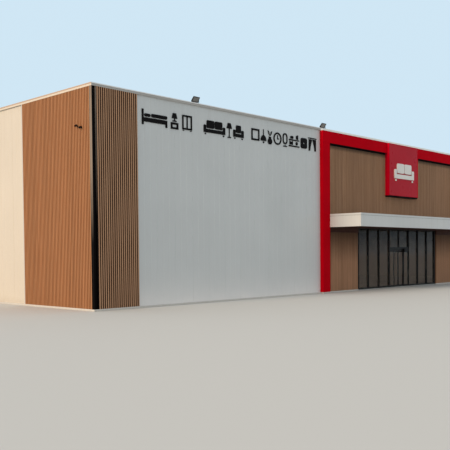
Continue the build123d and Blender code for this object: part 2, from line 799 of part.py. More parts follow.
def flood_bracket():
    """A stirrup on the coping that holds the housing by its sides, with six-sided bolt heads."""
    side = FLOOD_WIDTH / 2
    outer = side + STIRRUP_THICKNESS
    y0 = FRONT - COPING_REACH
    y1 = y0 + STIRRUP_WIDTH
    pivot_y = y0 + STIRRUP_SET_BACK
    pivot_z = HEIGHT + FLOOD_RISE + PIVOT_RISE
    arm_top = pivot_z + STIRRUP_WIDTH / 2
    bracket = block(-outer, outer, y0, y1, HEIGHT, HEIGHT + STIRRUP_THICKNESS)
    bracket += block(-outer, -side, y0, y1, HEIGHT, arm_top)
    bracket += block(side, outer, y0, y1, HEIGHT, arm_top)
    bolt = Rot(0, 90, 0) * extrude(RegularPolygon(PIVOT_RADIUS, 6), PIVOT_LENGTH)
    bracket += Pos(-outer - PIVOT_LENGTH, pivot_y, pivot_z) * bolt
    bracket += Pos(outer, pivot_y, pivot_z) * bolt
    return bracket


def floodlight_heads():
    return [Pos(LEFT + offset, 0, 0) * flood_head() for offset in FLOOD_OFFSETS]


def floodlight_brackets():
    return [Pos(LEFT + offset, 0, 0) * flood_bracket() for offset in FLOOD_OFFSETS]


def wall_camera(turn):
    """A plate, an arm and a hooded barrel that looks out and down from a face at x = 0."""
    side = CAMERA_PLATE_WIDTH / 2
    rise = CAMERA_PLATE_HEIGHT / 2
    half = CAMERA_ARM / 2
    plate = block(-CAMERA_PLATE, 0, -side, side, -rise, rise)
    arm = block(-CAMERA_REACH, 0, -half, half, -half, half)
    hood_radius = CAMERA_RADIUS + CAMERA_HOOD
    hood_end = CAMERA_HOOD_LENGTH / 2
    upper_half = block(0, hood_radius, -hood_radius, hood_radius, -hood_end, hood_end)
    hood = Cylinder(hood_radius, CAMERA_HOOD_LENGTH) - Cylinder(CAMERA_RADIUS, CAMERA_HOOD_LENGTH)
    barrel = Cylinder(CAMERA_RADIUS, CAMERA_LENGTH) + (hood & upper_half)
    aimed = Rot(0, 0, turn) * (Rot(0, -90 - CAMERA_TILT, 0) * barrel)
    return plate + arm + Pos(-CAMERA_REACH, 0, 0) * aimed


def wall_cameras():
    face = LEFT - SCREEN_REACH
    return [Pos(face, FRONT + y, z) * wall_camera(turn) for y, z, turn in CAMERA_PLACES]


NODES = {
    "floor_slab": floor_slab,
    "entrance_threshold": entrance_threshold,
    "front_wall_left": front_wall_left,
    "front_wall_right": front_wall_right,
    "front_wall_head": front_wall_head,
    "left_side_wall": left_side_wall,
    "right_side_wall": right_side_wall,
    "back_wall": back_wall,
    "roof_deck": roof_deck,
    "coping_front": coping_front,
    "coping_back": coping_back,
    "coping_left": coping_left,
    "coping_right": coping_right,
    "plinths": plinths,
    "screen_front_left": screen_front_left,
    "screen_front_right": screen_front_right,
    "screen_side_left": screen_side_left,
    "screen_side_right": screen_side_right,
    "entrance_screens": entrance_screens,
    "entrance_screen_upper": entrance_screen_upper,
    "corner_posts": corner_posts,
    "screen_end_trims": screen_end_trims,
    "portal_legs": portal_legs,
    "portal_headers": portal_headers,
    "portal_flashing": portal_flashing,
    "sign_box": sign_box,
    "sign_face": sign_face,
    "canopy_front_fascia": canopy_front_fascia,
    "canopy_end_fascias": canopy_end_fascias,
    "canopy_roof": canopy_roof,
    "canopy_soffit": canopy_soffit,
    "glazing_frame_left": glazing_frame_left,
    "glazing_frame_right": glazing_frame_right,
    "overlight_frame": overlight_frame,
    "glazing_panes": glazing_panes,
    "sidelight_frames": sidelight_frames,
    "door_operator": door_operator,
    "door_sensor": door_sensor,
    "door_leaf_left": door_leaf_left,
    "door_leaf_right": door_leaf_right,
    "door_pane_left": door_pane_left,
    "door_pane_right": door_pane_right,
    "floodlight_heads": floodlight_heads,
    "floodlight_brackets": floodlight_brackets,
    "wall_cameras": wall_cameras,
}

os.makedirs("parts", exist_ok=True)
for name, make in NODES.items():
    made = make()
    if isinstance(made, list):
        made = Compound(children=made)
    made.label = name
    export_step(made, f"parts/{name}.step")
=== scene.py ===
"""Looks, light and camera for the furniture store: a flat-roofed hall with slatted corners,
a framed entrance with a canopy, and automatic sliding doors.

Metres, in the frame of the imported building: +X to the right along the front, +Y from the
front to the back, +Z up, with the ground at z = 0.
"""
import math

import bmesh
import bpy
from mathutils import Matrix, Vector


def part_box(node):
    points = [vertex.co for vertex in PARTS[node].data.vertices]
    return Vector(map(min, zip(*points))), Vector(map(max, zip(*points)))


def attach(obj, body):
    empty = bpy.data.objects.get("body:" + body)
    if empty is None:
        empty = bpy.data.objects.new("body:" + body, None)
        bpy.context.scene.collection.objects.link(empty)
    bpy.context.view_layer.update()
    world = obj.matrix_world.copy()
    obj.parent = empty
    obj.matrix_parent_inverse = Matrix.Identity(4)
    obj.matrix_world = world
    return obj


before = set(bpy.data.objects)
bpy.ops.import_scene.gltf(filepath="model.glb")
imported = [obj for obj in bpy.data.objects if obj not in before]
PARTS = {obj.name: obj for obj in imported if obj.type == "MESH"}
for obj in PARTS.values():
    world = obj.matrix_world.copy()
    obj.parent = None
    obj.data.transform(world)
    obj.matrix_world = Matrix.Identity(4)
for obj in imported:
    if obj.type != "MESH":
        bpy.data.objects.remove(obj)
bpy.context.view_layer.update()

# Camera, in the photograph's place
PICTURE_SIZE = 450
CAMERA_PLACE = (-35.657, -35.792, 2.191)
CAMERA_TURN = math.radians(-46.253)
CAMERA_PITCH = math.radians(-1.805)
CAMERA_ROLL = math.radians(-0.502)
FOCAL_PIXELS = 717.7
SENSOR_WIDTH = 36
HORIZON_SHIFT_PIXELS = 50
FAR_CLIP = 2000

# Light
SUN_STRENGTH = 2.5
SUN_SPREAD = math.radians(16)
SUN_COLOUR = (1.0, 0.76, 0.53)
SUN_ELEVATION = math.radians(22)
SUN_BEHIND_FRONT = math.radians(2)
SKY_COLOUR = (0.90, 0.96, 1.0)
SKY_STRENGTH = 0.72
BACKDROP_COLOUR = (0.63, 0.795, 0.91)
FLOOR_RADIUS = 400
FLOOR_SIDES = 64
FLOOR_LEVEL = -0.002
FLOOR_COLOUR = (0.60, 0.60, 0.58)

# Planes and levels of the hall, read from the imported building
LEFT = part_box("left_side_wall")[0].x
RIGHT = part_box("right_side_wall")[1].x
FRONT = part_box("front_wall_left")[0].y
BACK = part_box("back_wall")[1].y
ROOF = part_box("roof_deck")[1].z
PARAPET_INNER_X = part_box("roof_deck")[1].x
PARAPET_INNER_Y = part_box("roof_deck")[1].y
COPING_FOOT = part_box("coping_front")[0].z
COPING_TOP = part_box("coping_front")[1].z
COPING_CAP_FOOT = COPING_TOP - 0.038
PLINTH_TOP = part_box("screen_front_left")[0].z
SCREEN_FACE_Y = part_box("screen_front_left")[0].y
SCREEN_FACE_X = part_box("screen_side_left")[0].x
SIGN_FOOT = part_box("sign_face")[0].z
PORTAL_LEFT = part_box("portal_flashing")[0].x
PORTAL_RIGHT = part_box("portal_flashing")[1].x
HEADER_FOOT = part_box("portal_headers")[0].z
SOFFIT_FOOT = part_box("canopy_soffit")[0].z
CANOPY_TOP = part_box("canopy_front_fascia")[1].z
# Height of a painted shade line at the foot of the groove near the top of the canopy fascia
CANOPY_SHADE_LINE = CANOPY_TOP - 0.11
OUTER_FLANGE_X = -SCREEN_FACE_X - 0.004
INNER_FLANGE_X = -LEFT - 0.108
SLAT_PITCH = 0.1
SLAT_DEPTH = 0.045
PANEL_WIDTH = 1.0
COPING_LENGTH = 3.0
ROOFING_WIDTH = 2.0

# Where the black painted shade on the headers' lower lip and on the sign case's foot and rear ends
HEADER_PAINTED_SHADE_TOP = HEADER_FOOT + 0.096
SIGN_PAINTED_SHADE_TOP = SIGN_FOOT - 0.008
SIGN_PAINTED_SHADE_REAR = SCREEN_FACE_Y - 0.005

# Levels that no piece reaches
OUT_OF_REACH = 99.0
UNDER_GROUND = -1.0

# Colours of the finishes and of painted light and shade; a gap's colour multiplies that of the slats
# beside it
WHITE = (0.572, 0.595, 0.596, 1.0)
CREAM = (0.64, 0.58, 0.49, 1.0)
# Coping faces: painted shade on the front and back, painted sunlight on the sides
COPING_FACE_PAINTED_SHADE = (0.41, 0.395, 0.37, 1.0)
COPING_FACE_PAINTED_SUN = (0.70, 0.61, 0.50, 1.0)
COPING_LIP_FRONT = (0.80, 0.81, 0.81, 1.0)
COPING_LIP_SIDE = (0.54, 0.38, 0.27, 1.0)
FLASHING = (0.85, 0.84, 0.81, 1.0)
PLINTH = (0.62, 0.60, 0.56, 1.0)
CANOPY = (0.60, 0.61, 0.60, 1.0)
RED = (0.50, 0.0006, 0.0078, 1.0)
# Brighter than RED: painted light for the sun on the sign case's left side
SIGN_CASE_LIT_RED = (0.53, 0.0016, 0.015, 1.0)
SIGN_RED = (0.46, 0.008, 0.021, 1.0)
# Black of painted shade, on the headers' lower lip and the sign case's foot and rear
PAINTED_SHADE_BLACK = (0.008, 0.007, 0.007, 1.0)
CORNER_BLACK = (0.004, 0.0028, 0.0025, 1.0)
# Painted reflection on the corner profile's flanges, paler towards the top
CORNER_PAINTED_REFLECTION = (0.265, 0.213, 0.171, 1.0)
GLASS_TINT = (0.34, 0.28, 0.24, 1.0)
LOWER_GLASS_TINT = (0.97, 0.80, 0.68, 1.0)
ROOFING = (0.27, 0.28, 0.285, 1.0)
STAINED_ROOFING = (0.17, 0.165, 0.15, 1.0)
CONCRETE = (0.36, 0.35, 0.33, 1.0)
LENS = (0.19, 0.187, 0.185, 1.0)
DIODE = (0.42, 0.39, 0.33, 1.0)
SOIL = (0.62, 0.55, 0.46, 1.0)
# Colour of a painted light at the foot of a sheet, as if bounced off the ground
PAINTED_FOOT_LIGHT_COLOUR = (0.853, 0.823, 0.80, 1.0)
# Gap colours are painted shade in the recesses between slats, deepest on the front; SUNLIT_GAP is a
# painted light that lifts the gaps of the side slats
SHADED_GAP = (0.46, 0.377, 0.331, 1.0)
DEEP_SHADED_GAP = (0.115, 0.064, 0.058, 1.0)
SUNLIT_GAP = (1.12, 1.05, 1.0, 1.0)

# Weather, wear, and painted light and shade: lengths and heights in metres, fades from one height to
# another
STREAK_LENGTH = 3.5
STREAK_WEIGHT = 0.4
STREAK_STRETCH = (5.0, 5.0, 0.12)
# How high the painted foot light reaches and how fast it falls off
FOOT_LIGHT_HEIGHT = 3.4
FOOT_LIGHT_FALLOFF = 5.0
TRIM_SPLASH = 0.1
# Half width and tone of a painted shade line
SHADE_LINE_HALF_WIDTH = 0.007
SHADE_LINE_TONE = 0.4
LINE_FROM_FACE = 0.0008
LINE_REACH = 0.02
GRAIN_STRETCH = (60.0, 60.0, 0.7)
GRAIN_JUMP = 9.0
DRIFT_STRETCH = (3.0, 3.0, 0.35)
SLAT_TONES = 0.14
DRIFT_TONES = 0.08
GAP_EDGE = (0.02, 0.3)
# How the painted reflection on the corner profile's flanges fades in with height
OUTER_REFLECTION_FADE = (2.6, 5.5)
INNER_REFLECTION_FADE = (3.6, 8.4)
INNER_REFLECTION_AMOUNT = 0.8
LOWER_GLASS_FADE = (2.4, 3.6)

# Range in which most values of a noise texture lie
NOISE_LOW = 0.3
NOISE_HIGH = 0.7


# Shader building blocks

def put(tree, kind, feeds=None, **settings):
    """Adds a node; feeds gives its sockets a value or another node's output."""
    made = tree.nodes.new(kind)
    for name, value in settings.items():
        setattr(made, name, value)
    for socket, value in (feeds or {}).items():
        if isinstance(value, bpy.types.NodeSocket):
            tree.links.new(value, made.inputs[socket])
        else:
            made.inputs[socket].default_value = value
    return made


def calculate(tree, operation, first, second=0.0, third=0.0):
    """One Math node; returns its value."""
    feeds = {0: first, 1: second, 2: third}
    return put(tree, "ShaderNodeMath", feeds, operation=operation).outputs[0]


def blend_colours(tree, share, first, second, mode="MIX"):
    """Mixes two colours by share; returns the colour."""
    feeds = {0: share, 6: first, 7: second}
    return put(tree, "ShaderNodeMix", feeds, data_type="RGBA", blend_type=mode).outputs[2]


def times(tree, colour, factor):
    """A colour multiplied by a tone or by another colour."""
    return blend_colours(tree, 1.0, colour, factor, "MULTIPLY")


def spread(tree, value, low, high, new_low, new_high):
    """Maps a value from one range to another, clamped; returns the value."""
    feeds = {"Value": value, "From Min": low, "From Max": high, "To Min": new_low, "To Max": new_high}
    return put(tree, "ShaderNodeMapRange", feeds).outputs[0]


def by_share(tree, share, low, high):
    """Maps a share from 0 to 1 to a value from low to high."""
    return spread(tree, share, 0.0, 1.0, low, high)


def from_noise(tree, value, low, high):
    """Maps the usual range of a noise texture to a value from low to high."""
    return spread(tree, value, NOISE_LOW, NOISE_HIGH, low, high)


def noise(tree, place, scale, detail=2.0, roughness=0.5):
    feeds = {"Vector": place, "Scale": scale, "Detail": detail, "Roughness": roughness}
    return put(tree, "ShaderNodeTexNoise", feeds).outputs["Fac"]


def stretched(tree, place, factors):
    """The place with each axis multiplied by its own factor."""
    return put(tree, "ShaderNodeMapping", {"Vector": place, "Scale": factors}).outputs["Vector"]


def axes(tree, place):
    return put(tree, "ShaderNodeSeparateXYZ", {"Vector": place}).outputs


def one_of_each(tree, number):
    """A random value from 0 to 1 that belongs to a whole number."""
    return put(tree, "ShaderNodeTexWhiteNoise", {"W": number}, noise_dimensions="1D").outputs["Value"]


def new_group(name, inputs, outputs):
    """An empty shader group with named sockets; returns the tree, its inputs and its end."""
    tree = bpy.data.node_groups.new(name, "ShaderNodeTree")
    kinds = {"vector": "NodeSocketVector", "value": "NodeSocketFloat"}
    for label, kind in inputs.items():
        tree.interface.new_socket(label, in_out="INPUT", socket_type=kinds[kind])
    for label, kind in outputs.items():
        tree.interface.new_socket(label, in_out="OUTPUT", socket_type=kinds[kind])
    start = tree.nodes.new("NodeGroupInput").outputs
    end = tree.nodes.new("NodeGroupOutput").inputs
    return tree, start, end


def use(tree, group, feeds):
    """Places a group with its inputs fed by name; returns its outputs."""
    return put(tree, "ShaderNodeGroup", feeds, node_tree=group).outputs


# Effects that several finishes share

def build_run_along_wall():
    """How far along its wall a point lies: x on faces that look front or back, y on sides.

    Side is 1 on the faces that look left or right.
    """
    outputs = {"Run": "value", "Side": "value"}
    tree, start, end = new_group("run along wall", {"Place": "vector"}, outputs)
    normal = axes(tree, put(tree, "ShaderNodeNewGeometry").outputs["True Normal"])
    on_side = calculate(tree, "GREATER_THAN", calculate(tree, "ABSOLUTE", normal[0]), 0.5)
    place = axes(tree, start["Place"])
    along = put(tree, "ShaderNodeMix", {0: on_side, 2: place[0], 3: place[1]})
    tree.links.new(along.outputs[0], end["Run"])
    tree.links.new(on_side, end["Side"])
    return tree


def build_cloudy_tone():
    """A brightness near 1 that drifts softly over the surface."""
    inputs = {"Place": "vector", "Scale": "value", "Amount": "value"}
    tree, start, end = new_group("cloudy tone", inputs, {"Tone": "value"})
    drift = from_noise(tree, noise(tree, start["Place"], start["Scale"], detail=3.0), -1.0, 1.0)
    tone = calculate(tree, "MULTIPLY_ADD", drift, start["Amount"], 1.0)
    tree.links.new(tone, end["Tone"])
    return tree


def build_length_tone():
    """A brightness of its own for each panel or length along a wall."""
    inputs = {"Place": "vector", "Pitch": "value", "Joint at": "value", "Amount": "value"}
    tree, start, end = new_group("length tone", inputs, {"Tone": "value"})
    run = use(tree, RUN_ALONG_WALL, {"Place": start["Place"]})["Run"]
    turn = calculate(tree, "DIVIDE", calculate(tree, "SUBTRACT", run, start["Joint at"]), start["Pitch"])
    own = calculate(tree, "SUBTRACT", one_of_each(tree, calculate(tree, "FLOOR", turn)), 0.5)
    tree.links.new(calculate(tree, "MULTIPLY_ADD", own, start["Amount"], 1.0), end["Tone"])
    return tree


def build_weather_marks():
    """Masks for rain streaks below an edge and for splashes above the ground."""
    inputs = {"Place": "vector", "Edge height": "value", "Streak length": "value",
              "Splash height": "value"}
    tree, start, end = new_group("weather marks", inputs, {"Streaks": "value", "Splash": "value"})
    height = axes(tree, start["Place"])[2]
    below = calculate(tree, "SUBTRACT", start["Edge height"], height)
    fade = by_share(tree, calculate(tree, "DIVIDE", below, start["Streak length"]), 1.0, 0.0)
    lines = noise(tree, stretched(tree, start["Place"], STREAK_STRETCH), 1.6, detail=4.0, roughness=0.65)
    streaks = calculate(tree, "MULTIPLY", spread(tree, lines, 0.5, 0.72, 0.0, 1.0), fade)
    tree.links.new(streaks, end["Streaks"])
    rise = calculate(tree, "DIVIDE", height, start["Splash height"])
    ragged = calculate(tree, "ADD", rise, noise(tree, start["Place"], 7.0, detail=4.0, roughness=0.6))
    tree.links.new(spread(tree, ragged, 0.35, 1.2, 1.0, 0.0), end["Splash"])
    return tree


def build_sheet_skin():
    """The faint orange-peel and slight waviness of coated sheet, as a height for bump."""
    tree, start, end = new_group("sheet skin", {"Place": "vector"}, {"Height": "value"})
    fine = noise(tree, start["Place"], 90.0)
    broad = noise(tree, start["Place"], 0.9, detail=1.0)
    tree.links.new(calculate(tree, "MULTIPLY_ADD", broad, 6.0, fine), end["Height"])
    return tree


def build_box_mask():
    """1 where a point lies below a height or behind a depth, where a piece carries black painted shade."""
    inputs = {"Place": "vector", "Below": "value", "Behind": "value"}
    tree, start, end = new_group("lower or rear part", inputs, {"Mask": "value"})
    place = axes(tree, start["Place"])
    below = calculate(tree, "LESS_THAN", place[2], start["Below"])
    behind = calculate(tree, "GREATER_THAN", place[1], start["Behind"])
    tree.links.new(calculate(tree, "MAXIMUM", below, behind), end["Mask"])
    return tree


def build_panel_lines():
    """1 in the narrow joints between wall panels and on their beads, 0 on the faces."""
    tree, start, end = new_group("panel lines", {"Place": "vector"}, {"Mask": "value"})
    place = axes(tree, start["Place"])
    behind_side = calculate(tree, "SUBTRACT", RIGHT, calculate(tree, "ABSOLUTE", place[0]))
    behind_front = calculate(tree, "SUBTRACT", BACK, calculate(tree, "ABSOLUTE", place[1]))
    off_face = calculate(tree, "ABSOLUTE", calculate(tree, "MINIMUM", behind_side, behind_front))
    beside = calculate(tree, "GREATER_THAN", off_face, LINE_FROM_FACE)
    near = calculate(tree, "LESS_THAN", off_face, LINE_REACH)
    tree.links.new(calculate(tree, "MULTIPLY", beside, near), end["Mask"])
    return tree


RUN_ALONG_WALL = build_run_along_wall()
CLOUDY_TONE = build_cloudy_tone()
LENGTH_TONE = build_length_tone()
WEATHER_MARKS = build_weather_marks()
SHEET_SKIN = build_sheet_skin()
PAINTED_SHADE_PART = build_box_mask()
PANEL_LINES = build_panel_lines()


# Finishes

def start_material(name):
    """A new material; returns it with its tree, its shader and the surface's own place."""
    material = bpy.data.materials.new(name)
    material.use_nodes = True
    tree = material.node_tree
    shader = tree.nodes["Principled BSDF"]
    place = put(tree, "ShaderNodeTexCoord").outputs["Object"]
    return material, tree, shader, place


def raise_surface(tree, shader, height, distance):
    """Feeds a height to the shader's normal through a bump."""
    bump = put(tree, "ShaderNodeBump", {"Height": height, "Distance": distance})
    tree.links.new(bump.outputs["Normal"], shader.inputs["Normal"])


def weather(tree, shader, place, plain, roughness, dirt_amount, edge_height, splash_height,
            painted_foot_light=0.0):
    """Lays rain streaks and splashes over a sheet's colour, dulls them and adds the sheet's skin.

    Painted foot light is how strongly a pale painted light, as if bounced off the ground, brightens the
    sheet at its foot.
    """
    marks = use(tree, WEATHER_MARKS, {"Place": place, "Edge height": edge_height,
                                      "Streak length": STREAK_LENGTH, "Splash height": splash_height})
    streaks = calculate(tree, "MULTIPLY", marks["Streaks"], STREAK_WEIGHT)
    dirt = calculate(tree, "MAXIMUM", streaks, marks["Splash"])
    share = calculate(tree, "MULTIPLY", dirt, dirt_amount)
    colour = blend_colours(tree, share, plain, times(tree, plain, SOIL))
    # painted light: a pale glow rising from the foot of the sheet
    if painted_foot_light:
        nearness = spread(tree, axes(tree, place)[2], 0.0, FOOT_LIGHT_HEIGHT, 1.0, 0.0)
        foot_light_share = calculate(tree, "POWER", nearness, FOOT_LIGHT_FALLOFF)
        drift = from_noise(tree, noise(tree, place, 1.5, detail=3.0), 0.9 * painted_foot_light, 1.1 * painted_foot_light)
        colour = blend_colours(tree, calculate(tree, "MULTIPLY", foot_light_share, drift), colour, PAINTED_FOOT_LIGHT_COLOUR)
    tree.links.new(colour, shader.inputs["Base Color"])
    tree.links.new(by_share(tree, dirt, roughness, roughness + 0.25), shader.inputs["Roughness"])
    shader.inputs["Specular IOR Level"].default_value = 0.35
    raise_surface(tree, shader, use(tree, SHEET_SKIN, {"Place": place})["Height"], distance=0.0004)


def coated_sheet(name, colour, roughness, pitch=PANEL_WIDTH, joint_at=0.0, length_amount=0.008,
                 dirt_amount=0.3, edge_height=COPING_FOOT, splash_height=0.5, painted_line_light=1.0,
                 shade_line_height=OUT_OF_REACH, painted_foot_light=0.0):
    """Coil-coated steel sheet: a tone for each length, rain streaks, a soiled foot and, where asked, a
    painted light at the foot.

    The joints and beads of wall panels may carry painted light that makes them brighter than their faces,
    and a painted shade line may run along the sheet at one height.
    """
    material, tree, shader, place = start_material(name)
    tone = use(tree, CLOUDY_TONE, {"Place": place, "Scale": 0.35, "Amount": 0.03})["Tone"]
    line = use(tree, PANEL_LINES, {"Place": place})["Mask"]
    # painted light: the panel joints and beads are brighter than the faces
    tone = calculate(tree, "MULTIPLY", tone, by_share(tree, line, 1.0, painted_line_light))
    lengths = {"Place": place, "Pitch": pitch, "Joint at": joint_at, "Amount": length_amount}
    tone = calculate(tree, "MULTIPLY", tone, use(tree, LENGTH_TONE, lengths)["Tone"])
    # painted shade line at one height
    off_shade_line = calculate(tree, "ABSOLUTE", calculate(tree, "SUBTRACT", axes(tree, place)[2], shade_line_height))
    shade_line = calculate(tree, "LESS_THAN", off_shade_line, SHADE_LINE_HALF_WIDTH)
    tone = calculate(tree, "MULTIPLY", tone, by_share(tree, shade_line, 1.0, SHADE_LINE_TONE))
    weather(tree, shader, place, times(tree, colour, tone), roughness, dirt_amount, edge_height,
            splash_height, painted_foot_light)
    return material


def folded_coping():
    """Pale coping with a lip along its top; its faces are painted sunlit and warm on the sides and painted
    shaded and grey on the front and back; clean white over the portal.
    """
    material, tree, shader, place = start_material("pale folded coping")
    spot = axes(tree, place)
    on_side = use(tree, RUN_ALONG_WALL, {"Place": place})["Side"]
    # painted light: sunlit colour on the side faces, shaded colour on the front and back
    face = blend_colours(tree, on_side, COPING_FACE_PAINTED_SHADE, COPING_FACE_PAINTED_SUN)
    lip = blend_colours(tree, on_side, COPING_LIP_FRONT, COPING_LIP_SIDE)
    colour = blend_colours(tree, calculate(tree, "GREATER_THAN", spot[2], COPING_CAP_FOOT), face, lip)
    lengths = {"Place": place, "Pitch": COPING_LENGTH, "Joint at": COPING_LENGTH / 2, "Amount": 0.06}
    toned = times(tree, colour, use(tree, LENGTH_TONE, lengths)["Tone"])
    over_portal = calculate(tree, "LESS_THAN", spot[1], 0.0)
    for inside in (calculate(tree, "GREATER_THAN", spot[0], PORTAL_LEFT),
                   calculate(tree, "LESS_THAN", spot[0], PORTAL_RIGHT)):
        over_portal = calculate(tree, "MULTIPLY", over_portal, inside)
    plain = blend_colours(tree, over_portal, toned, FLASHING)
    weather(tree, shader, place, plain, roughness=0.36, dirt_amount=0.4, edge_height=COPING_FOOT,
            splash_height=TRIM_SPLASH)
    return material


def slat_wood(name, pale, deep, across, face_plane, first_gap, gap_painted_shading, variety=1.0,
              painted_shade_above=OUT_OF_REACH, painted_shade_fade=1.6, painted_shade_tone=0.28):
    """Oiled timber slats, each with its own tone and grain; a gap colour below 1 paints shade into the
    gaps, and one above 1 paints light into them.

    Painted shade darkens the timber above a given height, fading in over a given length below it.
    """
    material, tree, shader, place = start_material(name)
    spot = axes(tree, place)
    run = calculate(tree, "SUBTRACT", spot[1 - across], first_gap)
    slat = calculate(tree, "FLOOR", calculate(tree, "DIVIDE", run, SLAT_PITCH))
    own = one_of_each(tree, slat)
    rise = calculate(tree, "MULTIPLY", own, GRAIN_JUMP)
    jump = put(tree, "ShaderNodeCombineXYZ", {"X": slat, "Y": slat, "Z": rise})
    moved = put(tree, "ShaderNodeVectorMath", {0: place, 1: jump.outputs[0]}, operation="ADD").outputs[0]
    grain = noise(tree, stretched(tree, moved, GRAIN_STRETCH), 1.0, detail=5.0, roughness=0.6)
    drift = noise(tree, stretched(tree, moved, DRIFT_STRETCH), 1.0, detail=3.0)
    base = blend_colours(tree, from_noise(tree, grain, 0.0, 1.0), pale, deep)
    apart, adrift = SLAT_TONES * variety, DRIFT_TONES * variety
    tone = calculate(tree, "MULTIPLY", by_share(tree, own, 1 - apart, 1 + apart),
                     from_noise(tree, drift, 1 - adrift, 1 + adrift))
    outwards = calculate(tree, "ABSOLUTE", spot[across])
    sunk = calculate(tree, "DIVIDE", calculate(tree, "SUBTRACT", face_plane, outwards), SLAT_DEPTH)
    gap = spread(tree, sunk, *GAP_EDGE, 0.0, 1.0)
    # painted shade: the timber darkens towards the top, under the header or the canopy soffit
    shade_fade_foot = painted_shade_above - painted_shade_fade
    painted_shade = spread(tree, spot[2], shade_fade_foot, painted_shade_above, 1.0, painted_shade_tone)
    toned = times(tree, base, calculate(tree, "MULTIPLY", tone, painted_shade))
    # painted shade in the gaps, and painted light where the gap colour is above 1
    colour = blend_colours(tree, gap, toned, times(tree, toned, gap_painted_shading))
    tree.links.new(colour, shader.inputs["Base Color"])
    tree.links.new(from_noise(tree, grain, 0.55, 0.72), shader.inputs["Roughness"])
    shader.inputs["Specular IOR Level"].default_value = 0.2
    raise_surface(tree, shader, grain, distance=0.0012)
    return material


def painted(name, colour, roughness, specular, metallic=0.0, skin=0.0002, painted_shade_below=UNDER_GROUND,
            painted_shade_behind=OUT_OF_REACH):
    """A smooth paint with soft drifts in tone and sheen; a rear or lower part may be black, as painted
    shade.
    """
    material, tree, shader, place = start_material(name)
    tone = use(tree, CLOUDY_TONE, {"Place": place, "Scale": 0.8, "Amount": 0.05})["Tone"]
    mask = use(tree, PAINTED_SHADE_PART, {"Place": place, "Below": painted_shade_below, "Behind": painted_shade_behind})["Mask"]
    # painted shade: black on the lower or rear part that the mask marks
    shown = blend_colours(tree, mask, times(tree, colour, tone), PAINTED_SHADE_BLACK)
    tree.links.new(shown, shader.inputs["Base Color"])
    wear = noise(tree, place, 2.5, detail=4.0)
    worn = from_noise(tree, wear, roughness * 0.85, roughness * 1.2)
    tree.links.new(worn, shader.inputs["Roughness"])
    shader.inputs["Metallic"].default_value = metallic
    shader.inputs["Specular IOR Level"].default_value = specular
    raise_surface(tree, shader, use(tree, SHEET_SKIN, {"Place": place})["Height"], skin)
    return material


def corner_profile():
    """Black gloss sheet whose narrow flanges carry a painted bronze reflection, strong at the top and
    fading to black towards the foot.
    """
    material, tree, shader, place = start_material("black corner profile")
    across = calculate(tree, "ABSOLUTE", axes(tree, place)[0])
    outer = calculate(tree, "GREATER_THAN", across, OUTER_FLANGE_X)
    inner = calculate(tree, "LESS_THAN", across, INNER_FLANGE_X)
    height = axes(tree, place)[2]
    outer_rise = spread(tree, height, *OUTER_REFLECTION_FADE, 0.0, 1.0)
    inner_rise = spread(tree, height, *INNER_REFLECTION_FADE, 0.0, INNER_REFLECTION_AMOUNT)
    # painted reflection: bronze on the flanges, rising towards the top, black below
    painted_reflection = calculate(tree, "MAXIMUM", calculate(tree, "MULTIPLY", outer, outer_rise),
                      calculate(tree, "MULTIPLY", inner, inner_rise))
    tone = use(tree, CLOUDY_TONE, {"Place": place, "Scale": 1.5, "Amount": 0.12})["Tone"]
    share = calculate(tree, "MULTIPLY", painted_reflection, tone)
    tree.links.new(blend_colours(tree, share, CORNER_BLACK, CORNER_PAINTED_REFLECTION), shader.inputs["Base Color"])
    tree.links.new(by_share(tree, share, 0.25, 0.45), shader.inputs["Roughness"])
    shader.inputs["Specular IOR Level"].default_value = 0.03
    raise_surface(tree, shader, use(tree, SHEET_SKIN, {"Place": place})["Height"], distance=0.0002)
    return material


def window_glass():
    """Bronze solar glass with faint smears, paler and warmer over its lower part."""
    material, tree, shader, place = start_material("dark window glass")
    clouds = noise(tree, place, 1.1, detail=3.0)
    ragged = calculate(tree, "MULTIPLY_ADD", clouds, 0.8, axes(tree, place)[2])
    lower_share = spread(tree, ragged, *LOWER_GLASS_FADE, 1.0, 0.0)
    tree.links.new(blend_colours(tree, lower_share, GLASS_TINT, LOWER_GLASS_TINT), shader.inputs["Base Color"])
    shader.inputs["Transmission Weight"].default_value = 0.95
    shader.inputs["IOR"].default_value = 1.15
    smear = noise(tree, place, 3.0, detail=4.0)
    tree.links.new(spread(tree, smear, 0.35, 0.7, 0.02, 0.07), shader.inputs["Roughness"])
    return material


def roof_membrane():
    """Grey roofing sheet, blotched where water has stood."""
    material, tree, shader, place = start_material("roof membrane")
    lengths = {"Place": place, "Pitch": ROOFING_WIDTH, "Joint at": 0.0, "Amount": 0.12}
    plain = times(tree, ROOFING, use(tree, LENGTH_TONE, lengths)["Tone"])
    stood = spread(tree, noise(tree, place, 0.22, detail=5.0, roughness=0.6), 0.52, 0.6, 0.0, 0.35)
    tree.links.new(blend_colours(tree, stood, plain, STAINED_ROOFING), shader.inputs["Base Color"])
    tree.links.new(spread(tree, stood, 0.0, 0.35, 0.92, 0.8), shader.inputs["Roughness"])
    shader.inputs["Specular IOR Level"].default_value = 0.1
    raise_surface(tree, shader, noise(tree, place, 60.0, detail=3.0), distance=0.0015)
    return material


def cast_concrete():
    """Floated concrete with fine aggregate and soft clouds."""
    material, tree, shader, place = start_material("floated concrete")
    tone = use(tree, CLOUDY_TONE, {"Place": place, "Scale": 0.5, "Amount": 0.12})["Tone"]
    speck = spread(tree, noise(tree, place, 140.0), 0.35, 0.65, 0.88, 1.1)
    colour = times(tree, CONCRETE, calculate(tree, "MULTIPLY", tone, speck))
    tree.links.new(colour, shader.inputs["Base Color"])
    shader.inputs["Roughness"].default_value = 0.7
    raise_surface(tree, shader, noise(tree, place, 140.0, detail=3.0), distance=0.0008)
    return material


